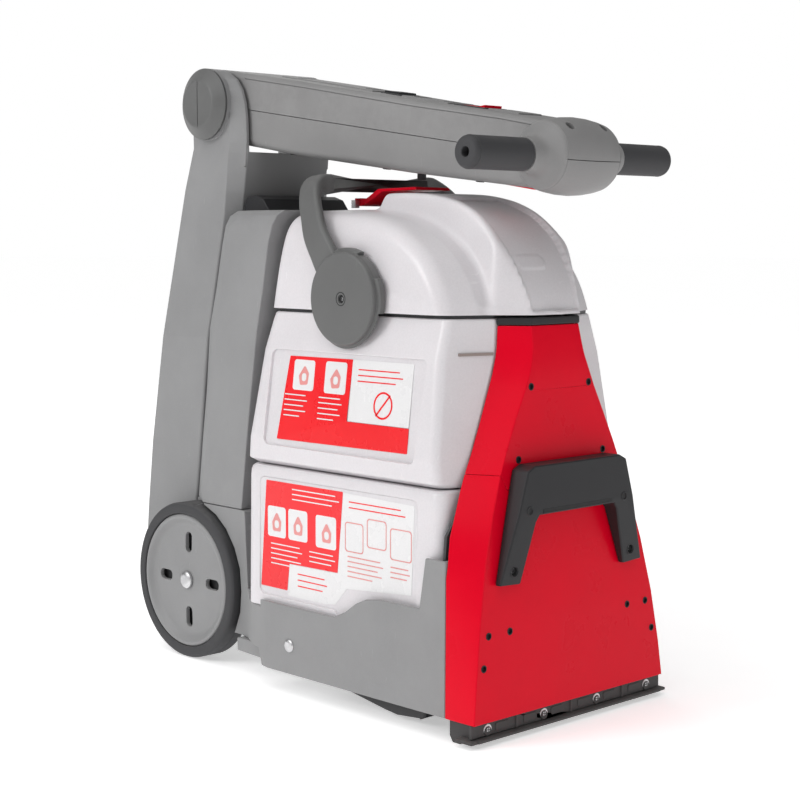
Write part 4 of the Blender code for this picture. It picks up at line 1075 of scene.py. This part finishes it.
FACE_Y = [(21, -5.2), (56, -3.5), (107, 0), (161, 5), (202, 9), (239, 12), (288, 14.5),
          (329, 15.5), (356, 18.5), (374, 22)]
NOZZLE_SCREW_Z = 14.4
COVER_SCREWS = [(112.2, 98.8), (84.2, 99.1), (120.3, 70.7), (59.9, 252.5), (40.7, 318.3)]


def rim(name, spot, node, material, profile, angle=40):
    """A fine raised ring round a hole in a front face."""
    detail(name, turned_ring("Y", spot, profile, 32), material, node, angle)


def cover_screws():
    """Black screws sunk in the red covers' holes, each with a fine moulded rim."""
    for index, (x, z) in enumerate(COVER_SCREWS):
        node = "red_lower_cover" if z < 240 else "red_upper_cover"
        face = between(FACE_Y, z)
        for word, side in SIDES:
            rim(f"cover_hole_{index}_{word}", (side * x, z), node, BLACK,
                [(face + 2, 2.7), (face - 0.3, 2.7), (face - 0.3, 3.5), (face + 2, 3.9)])
            screw(f"cover_screw_{index}_{word}", "Y", -1, (side * x, face + 0.9, z), 2.6, node,
                  BLACK)


CARRY_SCREW = (83, 154.5)
CARRY_HOLE = (67.2, 208.4)


def carry_handle_details():
    """Screws at the handle's ends and a rimmed hole at each end of its bar, with a near-black plug
    of painted shade in each hole.
    """
    node = "carry_handle"
    for word, side in SIDES:
        x, z = CARRY_SCREW
        screw(f"carry_screw_{word}", "Y", -1, (side * x, -1.6, z), 3.9, node)
        for index, ((x, z), reach, front) in enumerate(((CARRY_HOLE, 3.0, -8.95),
                                                        (CARRY_SCREW, 4.3, -4.75))):
            rim(f"carry_rim_{word}_{index}", (side * x, z), node, BLACK,
                [(front, reach), (front - 0.35, reach + 0.3), (front - 0.35, reach + 1.0),
                 (front, reach + 1.4)])
        # A near-black plug in each hole: painted shade of its inside.
        hole = turned("Y", (side * CARRY_HOLE[0], CARRY_HOLE[1]), [(-8.6, 3.1), (-5.0, 3.1)], 24)
        detail(f"carry_hole_shade_{word}", hole, PAINTED_RECESS_SHADE, node)


def carry_groove():
    """The finger edge under the handle's bar: a near-black strip of painted slot shade, with a thin
    lighter strip under it as a painted highlight on the lip.
    """
    # The slot is a near-black strip of painted shade; the lip is a lighter strip that paints a
    # highlight.
    for name, low, high, front, material in (("slot", 205.0, 208.2, -9.0, PAINTED_RECESS_SHADE),
                                             ("lip", 203.9, 204.8, -9.3, GRIP)):
        outline = rounded([(-49, low), (49, low), (49, high), (-49, high)], 0.4, 3)
        detail("carry_" + name, prism(outline, "Y", front, -8.2), material, "carry_handle")


def nozzle_details():
    """Screws with washers, low pads between them and the brown lining of the mouth."""
    node = "nozzle_plate"
    for x in (-114, -38, 38, 114):
        word = f"{'left' if x < 0 else 'right'}_{abs(x)}"
        screw("nozzle_screw_" + word, "Y", -1, (x, -2.9, NOZZLE_SCREW_Z), 3.6, node)
        rim("nozzle_washer_" + word, (x, NOZZLE_SCREW_Z), node, STEEL,
            [(-1.4, 2), (-1.9, 2), (-1.9, 4.9), (-1.4, 5.2)], 30)
    for x in (-95, -57, -19, 19, 57, 95):
        pad = rounded([(x - 9, 11), (x + 9, 11), (x + 9, 18.5), (x - 9, 18.5)], 2, 4)
        piece(f"nozzle_pad_{'left' if x < 0 else 'right'}_{abs(x)}", prism(pad, "Y", -2.1, -1.3),
              NOZZLE, node, 0.3, 30, False, 2)
    lining = [(3.4, 7), (8.8, 12), (8.8, 23.5), (19.9, 23.5), (19.9, 10), (15.4, 4)]
    rings = [[(x, y, z) for y, z in lining] for x in (-125.4, 125.4)]
    item = new_mesh("nozzle_lining", loft(rings, capped=False))
    item.data.shade_flat()
    finished(item, BROWN, "chassis")


# ---------------------------------------------------------------- column, base and lower handle

def arm_pin_domes():
    """Domed silver ends of the pins that carry the brush arm."""
    dome = [(134.6, 4.4), (135.4, 6.6), (136.3, 6.2), (136.9, 4.6), (137.1, 2.0)]
    for word, side in SIDES:
        end = side_turned(side, (ARM_PIN_Y, ARM_PIN_Z), dome, 48, turned)
        piece(f"arm_pin_{word}_dome", end, STEEL, "arm_pin_" + word, angle=50)


LOWER_WIDTH = [(345, 84), (560, 68)]
LOWER_FRONT = [(60, 474), (100, 472.5), (166, 467.5), (223, 460), (354, 444.5), (478, 428),
               (560, 426), (597, 424)]
LOWER_INNER = [(60, 474), (166, 467.5), (354, 444), (478, 418), (545, 407), (597, 409)]
LOWER_CREASE = [(60, 500), (353, 486), (394, 484), (505, 472), (556, 467.6), (597, 466)]
LOWER_REAR = [(60, 545), (80, 562), (125, 566), (155, 563), (226, 554), (345, 532), (506, 504),
              (571, 487), (597, 484)]
EAR_CREST = [(460, 634.2), (478.6, 629.2), (492.2, 615.4), (497.2, 597)]
EAR = [(409.8, 530), (407.3, 556), (408, 580), (410.6, 597), (415.8, 611), (425, 622.5),
       (441, 631.6), *EAR_CREST, (494, 575), (488, 530)]
EAR_EDGE = [(427, 530), (425.5, 556), (423.6, 580), (422.4, 597), (424.6, 610.6), (432.5, 623),
            (445.4, 631.2), *EAR_CREST, (489, 575), (486, 530)]
EAR_RINGS = ((55, EAR), (58.5, EAR), (67.9, EAR_EDGE))


def lower_plan(z):
    """Plan of the lower handle: bevelled front corners and a crease down each side."""
    half = between(LOWER_WIDTH, z)
    middle, front = between(LOWER_INNER, z), between(LOWER_FRONT, z)
    crease, rear = between(LOWER_CREASE, z), between(LOWER_REAR, z)
    bevel = min(57.0, half - 9)
    plan = [(0, middle), (bevel, middle), (half - 0.3, max(front, middle + 1)), (half, crease),
            (half - 2.4, rear), (0, rear)]
    return rounded(plan, [0, 3, 3, 0, 4, 0], 4)[1:-1]


def lower_handle():
    """Rear upright of the folding handle, with an ear each side of the pivot."""
    levels = sorted({*range(60, 556, 22), 80, 100, 125, 155, 166, 226, 345, 354, 478, 506, 545,
                     560})
    item = new_mesh("lower_handle_upright",
                    loft([[(x, y, z) for x, y in mirrored(lower_plan(z))] for z in levels]))
    for side in (-1, 1):
        rings = [[(side * x, y, z) for y, z in outline] for x, outline in EAR_RINGS]
        shape(item, loft(rings), "UNION")
    shape(item, turned("X", (PIVOT_Y, PIVOT_Z), [(-EAR_OUT, 37.6), (-72.6, EAR_R), (72.6, EAR_R),
                                                 (EAR_OUT, 37.6)], 96), "UNION")
    opening = [(340, 541), (424, 546), (520, 530), (560, 700), (340, 700)]
    shape(item, prism(opening, "X", -55, 55))
    recess = []
    for z in (80.5, 125, 155, 226, 345, 503.5):
        half, rear = between(LOWER_WIDTH, z) - 3.2, between(LOWER_REAR, z)
        recess.append([(-half, rear - 9, z), (half, rear - 9, z), (half, rear + 30, z),
                       (-half, rear + 30, z)])
    shape(item, loft(recess))
    soften(item, 0.6, 33, 2)
    finished(item, GREY, "chassis", ("lower_handle",))


TUFT_ROWS, TUFTS_IN_ROW = 10, 44
TUFT_ROOT, TUFT_TIP = (13.0, 1.3), (27.3, 1.9)


def tuft(bm, x, turn, lean):
    """One bundle of bristles: six-sided, wider at its tip, leaning a little."""
    rings = []
    for reach, wide in (TUFT_ROOT, TUFT_TIP):
        bend = lean if reach > TUFT_ROOT[0] else 0
        ring = []
        for t in arc(6):
            a = turn + wide * math.cos(t) / reach + bend
            ring.append(bm.verts.new((x + wide * math.sin(t), BRUSH_Y + reach * math.cos(a),
                                      BRUSH_Z + reach * math.sin(a))))
        rings.append(ring)
    join_rows(bm, rings)
    bm.faces.new(rings[1])
    bm.faces.new(list(reversed(rings[0])))


def brush_tufts():
    """Rows of bristle bundles set in spirals round the roll."""
    bm = bmesh.new()
    for row in range(TUFT_ROWS):
        for k in range(TUFTS_IN_ROW):
            tuft(bm, -104.5 + 190.0 * k / (TUFTS_IN_ROW - 1),
                 2 * math.pi * row / TUFT_ROWS + 1.3 * k / TUFTS_IN_ROW,
                 0.05 * math.sin(7.0 * k + row))
    core = turned_ring("X", (BRUSH_Y, BRUSH_Z),
                       [(-107.5, 5.3), (-107.5, 14), (89.5, 14), (89.5, 5.3)], 48)
    mesh = bpy.data.meshes.new("core")
    core.to_mesh(mesh)
    core.free()
    bm.from_mesh(mesh)
    bpy.data.meshes.remove(mesh)
    piece("brush_roll_tufts", bm, BRISTLE, "brush_roll", angle=40)


def column_rib_cover():
    """Dark soft-edged bar that lies over the column's rear rib."""
    rib = rounded([(368, 477.4), (411, 469.4), (415, 488), (409, 497), (396, 499), (382.6, 495)],
                  2.5, 4)
    piece("column_rib_sleeve", prism(rib, "X", -57, 57), BLACK, "column_housing", 0.8,
          replaces=False)


def rear_details():
    """Screws on the back cover of the lower handle, each in a near-black cup of painted pit shade.
    """
    node = "lower_handle_cover"
    spots = [(side * x, z) for x, z in ((62, 110), (62, 300), (56, 480)) for side in (-1, 1)]
    for index, (x, z) in enumerate(spots):
        y = between(LOWER_REAR, z) - 0.8
        # A near-black cup round each screw: painted shade of its pit.
        pit = turned("Y", (x, z), [(y - 2, 4.6), (y + 0.2, 4.6), (y + 0.2, 3.6), (y - 1.4, 3.2)],
                     32)
        detail(f"rear_pit_shade_{index}", pit, PAINTED_RECESS_SHADE, node, 40)
        screw(f"rear_screw_{index}", "Y", 1, (x, y + 0.6, z), 3.0, node)


# ---------------------------------------------------------------- stage and camera

CAMERA_PLACE = (-1.21020, -1.30069, 0.45613)
CAMERA_YAW, CAMERA_PITCH, CAMERA_ROLL = 43.760, 5.4835, 0.0894
CAMERA_LENS, SENSOR_WIDTH = 76.909, 36.0


def camera():
    data = bpy.data.cameras.new("camera")
    data.lens = CAMERA_LENS
    data.sensor_width = SENSOR_WIDTH
    data.clip_start = 0.05
    item = add_object("camera", data)
    turn = (Matrix.Rotation(-math.radians(CAMERA_YAW), 4, "Z")
            @ Matrix.Rotation(math.radians(90 - CAMERA_PITCH), 4, "X")
            @ Matrix.Rotation(math.radians(CAMERA_ROLL), 4, "Z"))
    item.matrix_world = Matrix.Translation(CAMERA_PLACE) @ turn
    bpy.context.scene.camera = item


def area_light(name, spot, power, size):
    data = bpy.data.lights.new(name, "AREA")
    data.energy = power
    data.shape = "DISK"
    data.size = size
    item = add_object(name, data)
    item.location = spot
    item.rotation_euler = (Vector(LIGHT_TARGET) - Vector(spot)).to_track_quat("-Z", "Y").to_euler()


SKY_LIGHT, SUN_STRENGTH, SUN_SPREAD = 0.25, 1.25, 70
FLOOR_HALF, FLOOR_DROP, FLOOR_GLOW = 30.0, 0.0002, 0.46
LIGHT_TARGET = (0, 0, 0.3)


def white_world():
    """A white background that lights the scene more softly than it looks."""
    world = bpy.data.worlds.new("studio")
    world.use_nodes = True
    tree = world.node_tree
    sky = tree.nodes["Background"]
    sky.inputs["Strength"].default_value = SKY_LIGHT
    seen = tree.nodes.new("ShaderNodeBackground")
    pick = tree.nodes.new("ShaderNodeMixShader")
    tree.links.new(tree.nodes.new("ShaderNodeLightPath").outputs["Is Camera Ray"], pick.inputs[0])
    for background, socket in ((sky, 1), (seen, 2)):
        background.inputs["Color"].default_value = (1.0, 1.0, 1.0, 1.0)
        tree.links.new(background.outputs[0], pick.inputs[socket])
    tree.links.new(pick.outputs[0], tree.nodes["World Output"].inputs["Surface"])
    bpy.context.scene.world = world
    bpy.context.scene.view_settings.view_transform = "Standard"


def pale_floor():
    """A wide pale floor just under the machine, bright enough to run into the background."""
    bm = bmesh.new()
    bm.faces.new([bm.verts.new((a * FLOOR_HALF, b * FLOOR_HALF, 0))
                  for a, b in ((-1, -1), (1, -1), (1, 1), (-1, 1))])
    mesh = bpy.data.meshes.new("floor")
    bm.to_mesh(mesh)
    bm.free()
    floor = add_object("floor", mesh)
    floor.location.z = CAD_BOX[0][2] - FLOOR_DROP
    glow = (("Emission Color", (1.0, 1.0, 1.0, 1.0)), ("Emission Strength", FLOOR_GLOW))
    mesh.materials.append(surface("pale_floor", (0.92, 0.92, 0.92), 0.7, grain=0.02, mottle=0.01,
                                  scuffs=0.0, wear=0.0, dust=0.0, constants=glow))


def studio():
    """A pale floor and soft light from above, the left, the front and the back."""
    white_world()
    pale_floor()
    area_light("key_left", (-2.6, 0.9, 1.6), 26, 1.1)
    area_light("front_fill", (-0.6, -2.9, 0.8), 6, 1.2)
    area_light("rear_soft", (1.4, 2.6, 1.6), 10, 1.8)
    data = bpy.data.lights.new("top_soft", "SUN")
    data.energy = SUN_STRENGTH
    data.angle = math.radians(SUN_SPREAD)
    sun = add_object("top_soft", data)
    sun.rotation_euler = (math.radians(4), math.radians(-24), 0)


# ---------------------------------------------------------------- everything together

ROUNDED_NODES = [
    ("base_housing", GREY, 1.3), ("bottom_pan", GREY, 0.8), ("column_housing", GREY, 1.4),
    ("lower_handle_cover", GREY, 0.8), ("carry_handle", BLACK, 1.6),
    ("nozzle_plate", NOZZLE, 0.6), ("suction_nozzle", NOZZLE, 0.8), ("rim_band", BLACK, 1.2),
    ("red_upper_cover", RED, 1.0), ("red_lower_cover", RED, 1.0), ("lid_latch", RED, 0.9),
    ("brush_arm", DARK, 0.6), ("power_switch", RED, 0.8), ("fold_lock_button", BLACK, 0.8),
    ("spray_trigger", RED, 0.8), ("tank_inlet", MILK, 0.5), ("water_pump", DARK, 0.8),
    ("cord_gland", BLACK, 0.5), ("clean_tank_cap", BLACK, 0.8),
]
KEPT_NODES = [
    ("brush_motor", CAST), ("brush_pulley", DARK), ("brush_shaft", STEEL),
    ("clean_tank_valve", DARK), ("drive_belt", TYRE), ("float_ball", RED), ("float_cage", DARK),
    ("fold_bumper", GRIP), ("front_frame", DARK), ("grip_tube", STEEL), ("latch_pin", STEEL),
    ("motor_pulley", STEEL), ("pivot_pin", STEEL), ("spray_bar", DARK), ("suction_duct", DARK),
    ("vacuum_motor", CAST),
]


SHAPED = (
    tank_lid, dirty_tank, clean_tank, gasket, upper_labels, lower_labels, level_mark,
    handle_shells, handle_top_fittings, grips, pivot_caps, bail, bail_hubs, wheels, cover_screws,
    carry_handle_details, carry_groove, nozzle_details, arm_pin_domes, lower_handle, brush_tufts,
    column_rib_cover, rear_details,
)


def build():
    """Finer copies of CAD nodes, better materials on the kept ones, then the shaped pieces."""
    for node, material, width in ROUNDED_NODES:
        refined(node, material, width)
    for node, material in KEPT_NODES:
        kept(node, material)
    for make in SHAPED:
        make()


build()
studio()
camera()
